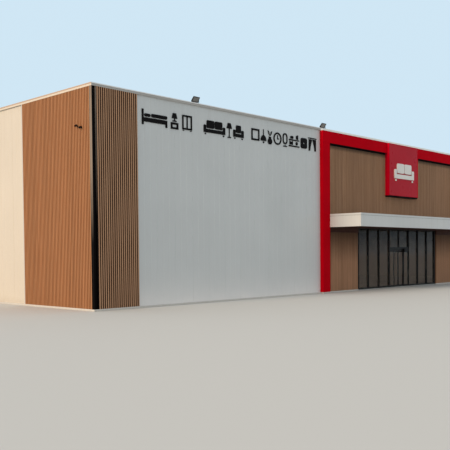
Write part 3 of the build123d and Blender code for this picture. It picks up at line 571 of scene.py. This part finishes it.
def lamp_lens():
    """Clear cover over rows of pale diodes."""
    material, tree, shader, place = start_material("lamp lens")
    cells = put(tree, "ShaderNodeTexVoronoi", {"Vector": place, "Scale": 28.0, "Randomness": 0.0})
    diode = spread(tree, cells.outputs["Distance"], 0.2, 0.34, 1.0, 0.0)
    tree.links.new(blend_colours(tree, diode, LENS, DIODE), shader.inputs["Base Color"])
    shader.inputs["Roughness"].default_value = 0.15
    shader.inputs["Specular IOR Level"].default_value = 0.35
    return material


# The white walls carry painted light in their panel lines and at their foot; the cream walls in their
# panel lines
white_left = coated_sheet("white wall left", WHITE, roughness=0.42, joint_at=0.66, painted_line_light=1.38,
                          splash_height=TRIM_SPLASH, painted_foot_light=0.95)
white_right = coated_sheet("white wall right", WHITE, roughness=0.42, joint_at=0.77, painted_line_light=1.38,
                           splash_height=TRIM_SPLASH, painted_foot_light=0.95)
cream_side = coated_sheet("cream side wall", CREAM, roughness=0.42, joint_at=0.3, painted_line_light=1.4)
cream_back = coated_sheet("cream back wall", CREAM, roughness=0.42, joint_at=0.5, painted_line_light=1.4)
coping_trim = folded_coping()
portal_trim = coated_sheet("pale portal flashing", FLASHING, roughness=0.36, pitch=COPING_LENGTH,
                           joint_at=COPING_LENGTH / 2, length_amount=0.03, splash_height=TRIM_SPLASH)
plinth_trim = coated_sheet("pale plinth trim", PLINTH, roughness=0.40, pitch=COPING_LENGTH,
                           joint_at=COPING_LENGTH / 2, length_amount=0.06, dirt_amount=0.4,
                           splash_height=TRIM_SPLASH)
# The canopy sheet carries a painted shade line below its top
canopy_sheet = coated_sheet("canopy sheet", CANOPY, roughness=0.34, pitch=2.45, joint_at=0.3,
                            dirt_amount=0.35, edge_height=CANOPY_TOP, splash_height=TRIM_SPLASH,
                            shade_line_height=CANOPY_SHADE_LINE)
portal_red = painted("portal red", RED, roughness=0.45, specular=0.006)
# The header's lower lip, and the sign case's foot and rear, are black painted shade
header_red = painted("header red", RED, roughness=0.45, specular=0.006, painted_shade_below=HEADER_PAINTED_SHADE_TOP)
# The sign case's red is brightened as painted light on its sunlit left side
sign_case_red = painted("sign case red", SIGN_CASE_LIT_RED, roughness=0.40, specular=0.006,
                        painted_shade_below=SIGN_PAINTED_SHADE_TOP, painted_shade_behind=SIGN_PAINTED_SHADE_REAR)
sign_face_red = painted("sign face red", SIGN_RED, roughness=0.30, specular=0.06, skin=0.00003)
corner_black = corner_profile()
# The soffit and its apron are near black: painted shade for the deep shade under the canopy
soffit_painted_shade = painted("soffit black", (0.056, 0.024, 0.018, 1.0), roughness=0.60, specular=0.08)
frame_black = painted("frame black", (0.009, 0.007, 0.006, 1.0), roughness=0.40, specular=0.12)
sensor_black = painted("sensor black", (0.006, 0.005, 0.005, 1.0), roughness=0.45, specular=0.12)
mark_black = painted("raised mark black", (0.007, 0.006, 0.006, 1.0), roughness=0.45, specular=0.04)
mark_white = painted("raised mark white", (0.76, 0.74, 0.69, 1.0), roughness=0.35, specular=0.3)
lamp_grey = painted("lamp grey", (0.018, 0.017, 0.017, 1.0), roughness=0.45, specular=0.2)
zinc_screw = painted("zinc screw", (0.46, 0.45, 0.42, 1.0), roughness=0.34, specular=0.5, metallic=0.8)
membrane = roof_membrane()
concrete = cast_concrete()
glass = window_glass()
lens = lamp_lens()
# Gap colours: painted shade in the front and entrance slats, painted light in the side slats
front_slats = slat_wood("front slats", pale=(0.53, 0.310, 0.181, 1.0), deep=(0.38, 0.211, 0.119, 1.0),
                        across=1, face_plane=-SCREEN_FACE_Y, first_gap=0.05, gap_painted_shading=DEEP_SHADED_GAP)
# The portal slats carry painted shade under the header
portal_slats = slat_wood("portal slats", pale=(0.53, 0.310, 0.180, 1.0), deep=(0.38, 0.217, 0.123, 1.0),
                         across=1, face_plane=-SCREEN_FACE_Y, first_gap=0.05, gap_painted_shading=SHADED_GAP,
                         variety=0.7, painted_shade_above=HEADER_FOOT - 0.06, painted_shade_fade=0.16,
                         painted_shade_tone=0.42)
# The sheltered slats carry painted shade under the canopy soffit
sheltered_slats = slat_wood("sheltered slats", pale=(0.63, 0.350, 0.203, 1.0),
                            deep=(0.45, 0.246, 0.140, 1.0), across=1, face_plane=-SCREEN_FACE_Y,
                            first_gap=0.05, gap_painted_shading=SHADED_GAP, variety=0.7,
                            painted_shade_above=SOFFIT_FOOT)
side_slats = slat_wood("side slats", pale=(0.47, 0.230, 0.106, 1.0), deep=(0.35, 0.168, 0.076, 1.0),
                       across=0, face_plane=-SCREEN_FACE_X, first_gap=0.08, gap_painted_shading=SUNLIT_GAP,
                       variety=0.5)


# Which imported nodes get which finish
FINISHES = (
    (white_left, "front_wall_left", "front_wall_head"),
    (white_right, "front_wall_right"),
    (cream_side, "left_side_wall", "right_side_wall"),
    (cream_back, "back_wall"),
    (coping_trim, "coping_front", "coping_back", "coping_left", "coping_right"),
    (portal_trim, "portal_flashing"),
    (plinth_trim, "plinths", "screen_end_trims"),
    (canopy_sheet, "canopy_front_fascia", "canopy_end_fascias", "canopy_roof"),
    (portal_red, "portal_legs"),
    (header_red, "portal_headers"),
    (sign_case_red, "sign_box"),
    (sign_face_red, "sign_face"),
    (corner_black, "corner_posts"),
    (soffit_painted_shade, "canopy_soffit"),
    (frame_black, "glazing_frame_left", "glazing_frame_right", "overlight_frame", "sidelight_frames",
     "door_operator", "door_leaf_left", "door_leaf_right"),
    (sensor_black, "door_sensor", "wall_cameras"),
    (lamp_grey, "floodlight_heads", "floodlight_brackets"),
    (membrane, "roof_deck"),
    (concrete, "floor_slab", "entrance_threshold"),
    (glass, "glazing_panes", "door_pane_left", "door_pane_right"),
    (front_slats, "screen_front_left", "screen_front_right"),
    (portal_slats, "entrance_screen_upper"),
    (sheltered_slats, "entrance_screens"),
    (side_slats, "screen_side_left", "screen_side_right"),
)
for material, *nodes in FINISHES:
    for node in nodes:
        for slot in PARTS[node].material_slots:
            slot.material = material


# Pieces that repeat, grown along lines by Geometry Nodes

def new_growth(name, numbers):
    """An empty Geometry Nodes tree for pieces along lines; returns the tree and its parts."""
    tree = bpy.data.node_groups.new(name, "GeometryNodeTree")
    tree.interface.new_socket("Geometry", in_out="INPUT", socket_type="NodeSocketGeometry")
    tree.interface.new_socket("Pitch", in_out="INPUT", socket_type="NodeSocketFloat")
    for label in numbers:
        tree.interface.new_socket(label, in_out="INPUT", socket_type="NodeSocketFloat")
    tree.interface.new_socket("Turn", in_out="INPUT", socket_type="NodeSocketVector")
    tree.interface.new_socket("Material", in_out="INPUT", socket_type="NodeSocketMaterial")
    tree.interface.new_socket("Geometry", in_out="OUTPUT", socket_type="NodeSocketGeometry")
    return tree, tree.nodes.new("NodeGroupInput").outputs


def finish_growth(tree, start, piece):
    """Sets the piece at every pitch along the lines, made real and given its material."""
    lines = put(tree, "GeometryNodeMeshToCurve", {"Mesh": start["Geometry"]})
    feeds = {"Curve": lines.outputs["Curve"], "Length": start["Pitch"]}
    points = put(tree, "GeometryNodeResampleCurve", feeds, mode="LENGTH")
    turned = put(tree, "FunctionNodeEulerToRotation", {"Euler": start["Turn"]})
    feeds = {"Points": points.outputs["Curve"], "Instance": piece, "Rotation": turned.outputs["Rotation"]}
    row = put(tree, "GeometryNodeInstanceOnPoints", feeds)
    real = put(tree, "GeometryNodeRealizeInstances", {"Geometry": row.outputs["Instances"]})
    feeds = {"Geometry": real.outputs["Geometry"], "Material": start["Material"]}
    done = put(tree, "GeometryNodeSetMaterial", feeds)
    end = tree.nodes.new("NodeGroupOutput").inputs
    tree.links.new(done.outputs["Geometry"], end["Geometry"])


SCREW_TAPER = 0.6


def build_screw_rows():
    """Pan-headed screws, narrower at the top."""
    tree, start = new_growth("screw rows", ("Radius", "Rise"))
    top = calculate(tree, "MULTIPLY", start["Radius"], SCREW_TAPER)
    feeds = {"Vertices": 10, "Radius Top": top, "Radius Bottom": start["Radius"], "Depth": start["Rise"]}
    head = put(tree, "GeometryNodeMeshCone", feeds)
    finish_growth(tree, start, head.outputs["Mesh"])
    return tree


def build_bead_rows():
    """Upright half-round beads pressed into a panel."""
    tree, start = new_growth("bead rows", ("Radius", "Height"))
    feeds = {"Vertices": 8, "Radius": start["Radius"], "Depth": start["Height"]}
    bead = put(tree, "GeometryNodeMeshCylinder", feeds)
    finish_growth(tree, start, bead.outputs["Mesh"])
    return tree


def build_strip_rows():
    """Long flat strips laid side by side."""
    tree, start = new_growth("strip rows", ("Width", "Length", "Height"))
    size = put(tree, "ShaderNodeCombineXYZ", {0: start["Width"], 1: start["Length"], 2: start["Height"]})
    strip = put(tree, "GeometryNodeMeshCube", {"Size": size.outputs[0]})
    finish_growth(tree, start, strip.outputs["Mesh"])
    return tree


SCREW_ROWS = build_screw_rows()
BEAD_ROWS = build_bead_rows()
STRIP_ROWS = build_strip_rows()


def add_piece(name, mesh, body="building"):
    """Adds a finished piece on its body, with its place in its mesh."""
    piece = bpy.data.objects.new(name, mesh)
    bpy.context.scene.collection.objects.link(piece)
    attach(piece, body)


def grow(name, tree, lines, material, slot, turn=(0, 0, 0), **sizes):
    """Grows pieces along straight lines, keeps them as a plain mesh and rides it."""
    host_mesh = bpy.data.meshes.new(name)
    points = [point for line in lines for point in line]
    edges = [(2 * index, 2 * index + 1) for index in range(len(lines))]
    host_mesh.from_pydata(points, edges, [])
    host = bpy.data.objects.new(name + "_host", host_mesh)
    bpy.context.scene.collection.objects.link(host)
    modifier = host.modifiers.new("growth", "NODES")
    modifier.node_group = tree
    values = {label.capitalize(): size for label, size in sizes.items()}
    values["Material"] = material
    values["Turn"] = turn
    for item in tree.interface.items_tree:
        if item.in_out == "INPUT" and item.name in values:
            modifier[item.identifier] = values[item.name]
    bpy.context.view_layer.update()
    evaluated = host.evaluated_get(bpy.context.evaluated_depsgraph_get())
    mesh = bpy.data.meshes.new_from_object(evaluated)
    host.modifiers.remove(modifier)
    bpy.data.objects.remove(host)
    mesh.name = name
    add_piece(name, mesh)


SCREW_RADIUS = 0.009
SCREW_RISE = 0.003
SCREW_PITCH = 0.6
SCREW_ROW_HEIGHT = COPING_FOOT + 0.03
SCREW_ROW_INSET = 0.3
COPING_FASCIA = 0.063
PLINTH_REACH = 0.065
BEAD_RADIUS = 0.003
BEAD_PITCH = 0.333
PANELS_LEFT_OF_PORTAL = 12
PANELS_RIGHT_OF_PORTAL = 6
PANELS_AT_BACK = 39
PANELS_AT_SIDE = 22
SIDE_PANELS_END = BACK - 0.2


def sheet_screws():
    """Screws along the fascias of the copings and along the plinths, wall by wall."""
    high = SCREW_ROW_HEIGHT
    low = PLINTH_TOP / 2
    rows = ((COPING_FASCIA, high), (PLINTH_REACH, low))
    end = SCREW_ROW_INSET
    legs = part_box("portal_legs")
    glazing = (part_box("glazing_frame_left")[0].x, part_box("glazing_frame_right")[1].x)
    front = FRONT - COPING_FASCIA
    foot = FRONT - PLINTH_REACH
    inner = (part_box("canopy_front_fascia")[0].x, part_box("canopy_front_fascia")[1].x)
    front_lines = [((LEFT + end, front, high), (RIGHT - end, front, high))]
    stretches = ((LEFT, legs[0].x), (inner[0], glazing[0]), (glazing[1], inner[1]), (legs[1].x, RIGHT))
    for x0, x1 in stretches:
        front_lines.append(((x0 + end, foot, low), (x1 - end, foot, low)))
    back_lines = [((LEFT + end, BACK + reach, z), (RIGHT - end, BACK + reach, z)) for reach, z in rows]
    left_lines = [((LEFT - reach, FRONT + end, z), (LEFT - reach, BACK - end, z)) for reach, z in rows]
    right_lines = [tuple((-x, y, z) for x, y, z in line) for line in left_lines]
    quarter = math.pi / 2
    walls = {
        "sheet_screws_front": (front_lines, (quarter, 0, 0)),
        "sheet_screws_back": (back_lines, (-quarter, 0, 0)),
        "sheet_screws_left": (left_lines, (0, -quarter, 0)),
        "sheet_screws_right": (right_lines, (0, quarter, 0)),
    }
    for name, (lines, turn) in walls.items():
        grow(name, SCREW_ROWS, lines, zinc_screw, "pale_metal", turn, pitch=SCREW_PITCH,
             radius=SCREW_RADIUS, rise=SCREW_RISE)


def panel_thirds(start, count):
    """From one third to two thirds of each panel, as offsets along a wall."""
    third = PANEL_WIDTH / 3
    edges = [start + index * PANEL_WIDTH for index in range(count)]
    return [(edge + third, edge + 2 * third) for edge in edges]


def panel_beads():
    """Two upright beads on every bare wall panel, which part it in thirds."""
    middle = (COPING_FOOT + PLINTH_TOP) / 2
    height = COPING_FOOT - PLINTH_TOP
    left_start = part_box("screen_front_left")[1].x
    right_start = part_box("portal_legs")[1].x
    side_start = SIDE_PANELS_END - PANELS_AT_SIDE * PANEL_WIDTH
    left = [[(x, FRONT, middle) for x in pair] for pair in panel_thirds(left_start, PANELS_LEFT_OF_PORTAL)]
    right = [[(x, FRONT, middle) for x in pair]
             for pair in panel_thirds(right_start, PANELS_RIGHT_OF_PORTAL)]
    back = [[(x, BACK, middle) for x in pair] for pair in panel_thirds(LEFT, PANELS_AT_BACK)]
    sides = [[(x, y, middle) for y in pair] for x in (LEFT, RIGHT)
             for pair in panel_thirds(side_start, PANELS_AT_SIDE)]
    walls = {
        "panel_beads_front_left": (left, white_left, "white_panel"),
        "panel_beads_front_right": (right, white_right, "white_panel"),
        "panel_beads_sides": (sides, cream_side, "cream_panel"),
        "panel_beads_back": (back, cream_back, "cream_panel"),
    }
    for name, (lines, material, slot) in walls.items():
        grow(name, BEAD_ROWS, lines, material, slot, pitch=BEAD_PITCH, radius=BEAD_RADIUS, height=height)


FIRST_SEAM_INSET = 1.3
SEAM_WIDTH = 0.09
SEAM_THICKNESS = 0.006
SEAM_MIDDLE = ROOF + 0.001
UPSTAND_SECTION = ((0.0, 0.0), (0.12, 0.0), (0.02, 0.12), (0.012, 0.30), (0.0, 0.30))


def roof_seams():
    """Lap seams of the roofing sheet, and the strip that turns it up at the parapet.

    The strip's section gives how far from the parapet and how high over the roof it runs.
    """
    start = -PARAPET_INNER_X + FIRST_SEAM_INSET
    line = ((start, 0, SEAM_MIDDLE), (-start, 0, SEAM_MIDDLE))
    grow("roof_seams", STRIP_ROWS, [line], membrane, "roof_membrane", pitch=ROOFING_WIDTH,
         width=SEAM_WIDTH, length=2 * PARAPET_INNER_Y, height=SEAM_THICKNESS)
    mesh = bpy.data.meshes.new("roof_upstand")
    build = bmesh.new()
    rings = []
    corners = ((-1, -1), (1, -1), (1, 1), (-1, 1))
    for inset, rise in UPSTAND_SECTION:
        x = PARAPET_INNER_X - inset
        y = PARAPET_INNER_Y - inset
        rings.append([build.verts.new((sx * x, sy * y, ROOF + rise)) for sx, sy in corners])
    count = len(rings)
    for step in range(count):
        here, there = rings[step], rings[(step + 1) % count]
        for corner in range(4):
            across = (corner + 1) % 4
            build.faces.new((here[corner], here[across], there[across], there[corner]))
    bmesh.ops.recalc_face_normals(build, faces=build.faces)
    build.to_mesh(mesh)
    build.free()
    mesh.materials.append(membrane)
    add_piece("roof_upstand", mesh)


# Raised marks: plain signs of furniture, drawn as flat outlines

def bar(x0, x1, z0, z1):
    return [(x0, z0), (x1, z0), (x1, z1), (x0, z1)]


CORNER_STEPS = 6


def rounded(x0, x1, z0, z1, radius):
    """A rectangle with round corners."""
    points = []
    centres = ((x1 - radius, z0 + radius, -90), (x1 - radius, z1 - radius, 0),
               (x0 + radius, z1 - radius, 90), (x0 + radius, z0 + radius, 180))
    for cx, cz, first in centres:
        for step in range(CORNER_STEPS + 1):
            angle = math.radians(first + 90 * step / CORNER_STEPS)
            points.append((cx + radius * math.cos(angle), cz + radius * math.sin(angle)))
    return points


def disc(cx, cz, radius):
    return rounded(cx - radius, cx + radius, cz - radius, cz + radius, radius)


def both_halves(middle, points):
    """An upright outline from its right half, listed from foot to top."""
    right = [(middle + dx, z) for dx, z in points]
    return right + [(middle - dx, z) for dx, z in reversed(points)]


def bed(x):
    frame_outline = [(x, 0), (x + 0.09, 0), (x + 0.09, 0.12), (x + 1.26, 0.12), (x + 1.26, 0),
                     (x + 1.35, 0), (x + 1.35, 0.29), (x + 0.09, 0.29), (x + 0.09, 0.62), (x, 0.62)]
    return [frame_outline, rounded(x + 0.13, x + 0.45, 0.33, 0.45, 0.05),
            rounded(x + 0.49, x + 1.35, 0.33, 0.47, 0.06)]


def bedside_lamp(x):
    table = [bar(x, x + 0.42, 0, 0.27), bar(x + 0.09, x + 0.33, 0.08, 0.19)]
    lamp = both_halves(x + 0.21, [(0.11, 0.31), (0.11, 0.35), (0.025, 0.37), (0.025, 0.44),
                                  (0.15, 0.44), (0.09, 0.66)])
    return table + [lamp]


def wardrobe(x):
    case = [bar(x, x + 0.56, 0.05, 0.66), bar(x + 0.07, x + 0.25, 0.12, 0.59),
            bar(x + 0.31, x + 0.49, 0.12, 0.59)]
    return case + [bar(x + 0.03, x + 0.10, 0, 0.03), bar(x + 0.46, x + 0.53, 0, 0.03)]


def seat(x, width, cushions):
    """A sofa or an armchair from the front, with bevelled arms and back cushions."""
    arm = 0.15
    shell = [(x, 0.09), (x + width, 0.09), (x + width, 0.38), (x + width - 0.03, 0.41),
             (x + width - arm + 0.03, 0.41), (x + width - arm, 0.38), (x + width - arm, 0.24),
             (x + arm, 0.24), (x + arm, 0.38), (x + arm - 0.03, 0.41), (x + 0.03, 0.41), (x, 0.38)]
    marks = [shell, bar(x + 0.07, x + 0.14, 0, 0.06), bar(x + width - 0.14, x + width - 0.07, 0, 0.06)]
    gap = 0.035
    clear = width - 2 * arm - gap
    for number in range(cushions):
        left = x + arm + gap + number * clear / cushions
        marks.append(rounded(left, left + clear / cushions - gap, 0.28, 0.62, 0.06))
    return marks


def floor_lamp(x):
    half = [(0.11, 0), (0.11, 0.04), (0.02, 0.05), (0.02, 0.42), (0.17, 0.42), (0.09, 0.66)]
    return [both_halves(x + 0.17, half)]


def picture_frame(x):
    return [bar(x, x + 0.56, 0.08, 0.62), bar(x + 0.08, x + 0.48, 0.16, 0.54)]


def pendant_lamp(x):
    half = [(0.20, 0.12), (0.19, 0.22), (0.13, 0.33), (0.05, 0.38), (0.018, 0.40), (0.018, 0.66)]
    return [both_halves(x + 0.2, half), disc(x + 0.2, 0.05, 0.045)]


def vase(x):
    body = both_halves(x + 0.17, [(0.08, 0), (0.15, 0.08), (0.16, 0.18), (0.07, 0.30), (0.09, 0.36)])
    leaf = [(x + 0.16, 0.40), (x + 0.10, 0.60), (x + 0.02, 0.66), (x + 0.05, 0.52)]
    other = [(x + 0.19, 0.40), (x + 0.29, 0.50), (x + 0.33, 0.64), (x + 0.24, 0.60)]
    return [body, leaf, other]


def wall_clock(x):
    hands = [(x + 0.28, 0.30), (x + 0.41, 0.30), (x + 0.41, 0.345), (x + 0.325, 0.345),
             (x + 0.325, 0.50), (x + 0.28, 0.50)]
    return [disc(x + 0.3, 0.33, 0.30), disc(x + 0.3, 0.33, 0.225), hands]


def standing_mirror(x):
    foot = both_halves(x + 0.18, [(0.15, 0), (0.15, 0.04), (0.02, 0.05), (0.02, 0.09)])
    return [foot, rounded(x, x + 0.36, 0.12, 0.66, 0.17), rounded(x + 0.07, x + 0.29, 0.19, 0.59, 0.105)]


def shelf(x):
    boards = [bar(x, x + 0.84, 0.06, 0.12), bar(x + 0.02, x + 0.82, 0.36, 0.42)]
    books = [bar(x + 0.06, x + 0.13, 0.15, 0.33), bar(x + 0.16, x + 0.22, 0.15, 0.30),
             bar(x + 0.25, x + 0.32, 0.15, 0.33), bar(x + 0.58, x + 0.64, 0.45, 0.62),
             bar(x + 0.67, x + 0.74, 0.45, 0.66)]
    return boards + books + [disc(x + 0.63, 0.235, 0.085), rounded(x + 0.12, x + 0.36, 0.45, 0.58, 0.05)]


def cushion(x):
    return [rounded(x, x + 0.52, 0.06, 0.58, 0.11), disc(x + 0.26, 0.32, 0.05)]


def curtain(x):
    rail = rounded(x, x + 0.70, 0.61, 0.66, 0.024)
    left = [(x + 0.05, 0), (x + 0.16, 0), (x + 0.20, 0.22), (x + 0.33, 0.58), (x + 0.05, 0.58)]
    right = [(x + 0.54, 0), (x + 0.65, 0), (x + 0.65, 0.58), (x + 0.37, 0.58), (x + 0.50, 0.22)]
    return [rail, left, right]


def raised_marks(name, outlines, corner, depth, material, scale=1.0):
    """Outlines as plates standing on a wall face; the corner is where their x and z are 0."""
    curve = bpy.data.curves.new(name, "CURVE")
    curve.dimensions = "2D"
    curve.fill_mode = "BOTH"
    curve.extrude = depth / 2
    for outline in outlines:
        spline = curve.splines.new("POLY")
        spline.points.add(len(outline) - 1)
        for point, (x, z) in zip(spline.points, outline):
            point.co = (x * scale, z * scale, 0, 1)
        spline.use_cyclic_u = True
    drawn = bpy.data.objects.new(name, curve)
    mesh = bpy.data.meshes.new_from_object(drawn)
    bpy.data.objects.remove(drawn)
    middle = Vector(corner) + Vector((0, -depth / 2, 0))
    mesh.transform(Matrix.Translation(middle) @ Matrix.Rotation(math.pi / 2, 4, "X"))
    mesh.materials.clear()
    mesh.materials.append(material)
    add_piece(name, mesh)


MARK_FOOT = 7.34
MARK_DEPTH = 0.03
SIGN_MARK_FOOT = 6.30
SIGN_MARK_DEPTH = 0.05
SIGN_SOFA_WIDTH = 2.25
SOFA_WIDTH = 1.35
MARK_GROUPS = {
    "raised_marks_bedroom": (-17.10, [(bed, 0), (bedside_lamp, 1.55), (wardrobe, 2.20)]),
    "raised_marks_lounge": (-13.64, [(lambda x: seat(x, SOFA_WIDTH, 2), 0), (floor_lamp, 1.45),
                                     (lambda x: seat(x, 0.70, 1), 1.88)]),
    "raised_marks_home": (-10.52, [(picture_frame, 0), (pendant_lamp, 0.66), (vase, 1.16),
                                   (wall_clock, 1.60), (standing_mirror, 2.30), (shelf, 2.77),
                                   (cushion, 3.72), (curtain, 4.34)]),
}


def wall_marks():
    """Black marks in three groups on the white wall left of the entrance."""
    for name, (start, marks) in MARK_GROUPS.items():
        outlines = [outline for draw, offset in marks for outline in draw(offset)]
        raised_marks(name, outlines, (start, FRONT, MARK_FOOT), MARK_DEPTH, mark_black)


def sign_mark():
    """A white sofa on the sign face."""
    low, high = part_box("sign_face")
    outlines = seat(-SOFA_WIDTH / 2, SOFA_WIDTH, 2)
    corner = ((low.x + high.x) / 2, low.y, SIGN_MARK_FOOT)
    raised_marks("sign_mark", outlines, corner, SIGN_MARK_DEPTH, mark_white,
                 scale=SIGN_SOFA_WIDTH / SOFA_WIDTH)


# Floodlight covers

FLOOD_OFFSETS = (5.345, 14.535, 30.065)
FLOOD_WIDTH = 0.37
FLOOD_LENGTH = 0.26
FLOOD_BORDER = 0.026
FLOOD_TILT = math.radians(-54)
FLOOD_OUTREACH = 0.075
FLOOD_RISE = 0.125
LENS_CORNER = 0.009
LENS_RECESS = 0.006
LENS_THICKNESS = 0.004


def floodlight_lenses():
    """A flat cover in the recess of each lamp housing."""
    half_x = FLOOD_WIDTH / 2 - FLOOD_BORDER
    half_y = FLOOD_LENGTH / 2 - FLOOD_BORDER
    build = bmesh.new()
    outline = rounded(-half_x, half_x, -half_y, half_y, LENS_CORNER)
    for offset in FLOOD_OFFSETS:
        place = Matrix.Translation((LEFT + offset, FRONT - FLOOD_OUTREACH, COPING_TOP + FLOOD_RISE))
        place = place @ Matrix.Rotation(FLOOD_TILT, 4, "X")
        lower, upper = [[build.verts.new(place @ Vector((x, y, rise))) for x, y in outline]
                        for rise in (LENS_RECESS - LENS_THICKNESS, LENS_RECESS)]
        build.faces.new(list(reversed(lower)))
        build.faces.new(upper)
        for index in range(len(outline)):
            after = (index + 1) % len(outline)
            build.faces.new((lower[index], lower[after], upper[after], upper[index]))
    bmesh.ops.recalc_face_normals(build, faces=build.faces)
    mesh = bpy.data.meshes.new("floodlight_lenses")
    build.to_mesh(mesh)
    build.free()
    mesh.materials.append(lens)
    add_piece("floodlight_lenses", mesh)


sheet_screws()
panel_beads()
roof_seams()
wall_marks()
sign_mark()
floodlight_lenses()


# Floor, light and camera

def pale_floor():
    """A wide, plain floor under the building."""
    mesh = bpy.data.meshes.new("floor")
    points = []
    for step in range(FLOOR_SIDES):
        angle = 2 * math.pi * step / FLOOR_SIDES
        points.append((FLOOR_RADIUS * math.cos(angle), FLOOR_RADIUS * math.sin(angle), FLOOR_LEVEL))
    mesh.from_pydata(points, [], [range(FLOOR_SIDES)])
    floor = bpy.data.objects.new("floor", mesh)
    bpy.context.scene.collection.objects.link(floor)
    material, _, shader, _ = start_material("pale floor")
    shader.inputs["Base Color"].default_value = (*FLOOR_COLOUR, 1.0)
    shader.inputs["Roughness"].default_value = 0.9
    shader.inputs["Specular IOR Level"].default_value = 0.1
    mesh.materials.append(material)


def soft_light():
    """A low, wide and warm light from the left, and an even sky."""
    lamp = bpy.data.lights.new("key light", "SUN")
    lamp.energy = SUN_STRENGTH
    lamp.angle = SUN_SPREAD
    lamp.color = SUN_COLOUR
    key = bpy.data.objects.new("key light", lamp)
    key.matrix_world = (Matrix.Rotation(-math.pi / 2 - SUN_BEHIND_FRONT, 4, "Z")
                        @ Matrix.Rotation(math.pi / 2 - SUN_ELEVATION, 4, "X"))
    bpy.context.scene.collection.objects.link(key)

    world = bpy.data.worlds.new("studio")
    bpy.context.scene.world = world
    world.use_nodes = True
    tree = world.node_tree
    background = tree.nodes["Background"]
    rays = put(tree, "ShaderNodeLightPath").outputs
    seen = calculate(tree, "MAXIMUM", rays["Is Camera Ray"], rays["Is Transmission Ray"])
    seen = calculate(tree, "MAXIMUM", seen, rays["Is Glossy Ray"])
    colour = blend_colours(tree, seen, (*SKY_COLOUR, 1.0), (*BACKDROP_COLOUR, 1.0))
    tree.links.new(colour, background.inputs["Color"])
    tree.links.new(by_share(tree, seen, SKY_STRENGTH, 1.0), background.inputs["Strength"])


def photo_camera():
    data = bpy.data.cameras.new("camera")
    data.sensor_width = SENSOR_WIDTH
    data.lens = FOCAL_PIXELS / PICTURE_SIZE * SENSOR_WIDTH
    data.shift_y = HORIZON_SHIFT_PIXELS / PICTURE_SIZE
    data.clip_end = FAR_CLIP
    camera = bpy.data.objects.new("camera", data)
    camera.matrix_world = (
        Matrix.Translation(CAMERA_PLACE)
        @ Matrix.Rotation(CAMERA_TURN, 4, "Z")
        @ Matrix.Rotation(math.pi / 2 + CAMERA_PITCH, 4, "X")
        @ Matrix.Rotation(CAMERA_ROLL, 4, "Z")
    )
    bpy.context.scene.collection.objects.link(camera)
    bpy.context.scene.camera = camera


pale_floor()
soft_light()
photo_camera()
bpy.context.scene.view_settings.view_transform = "Standard"
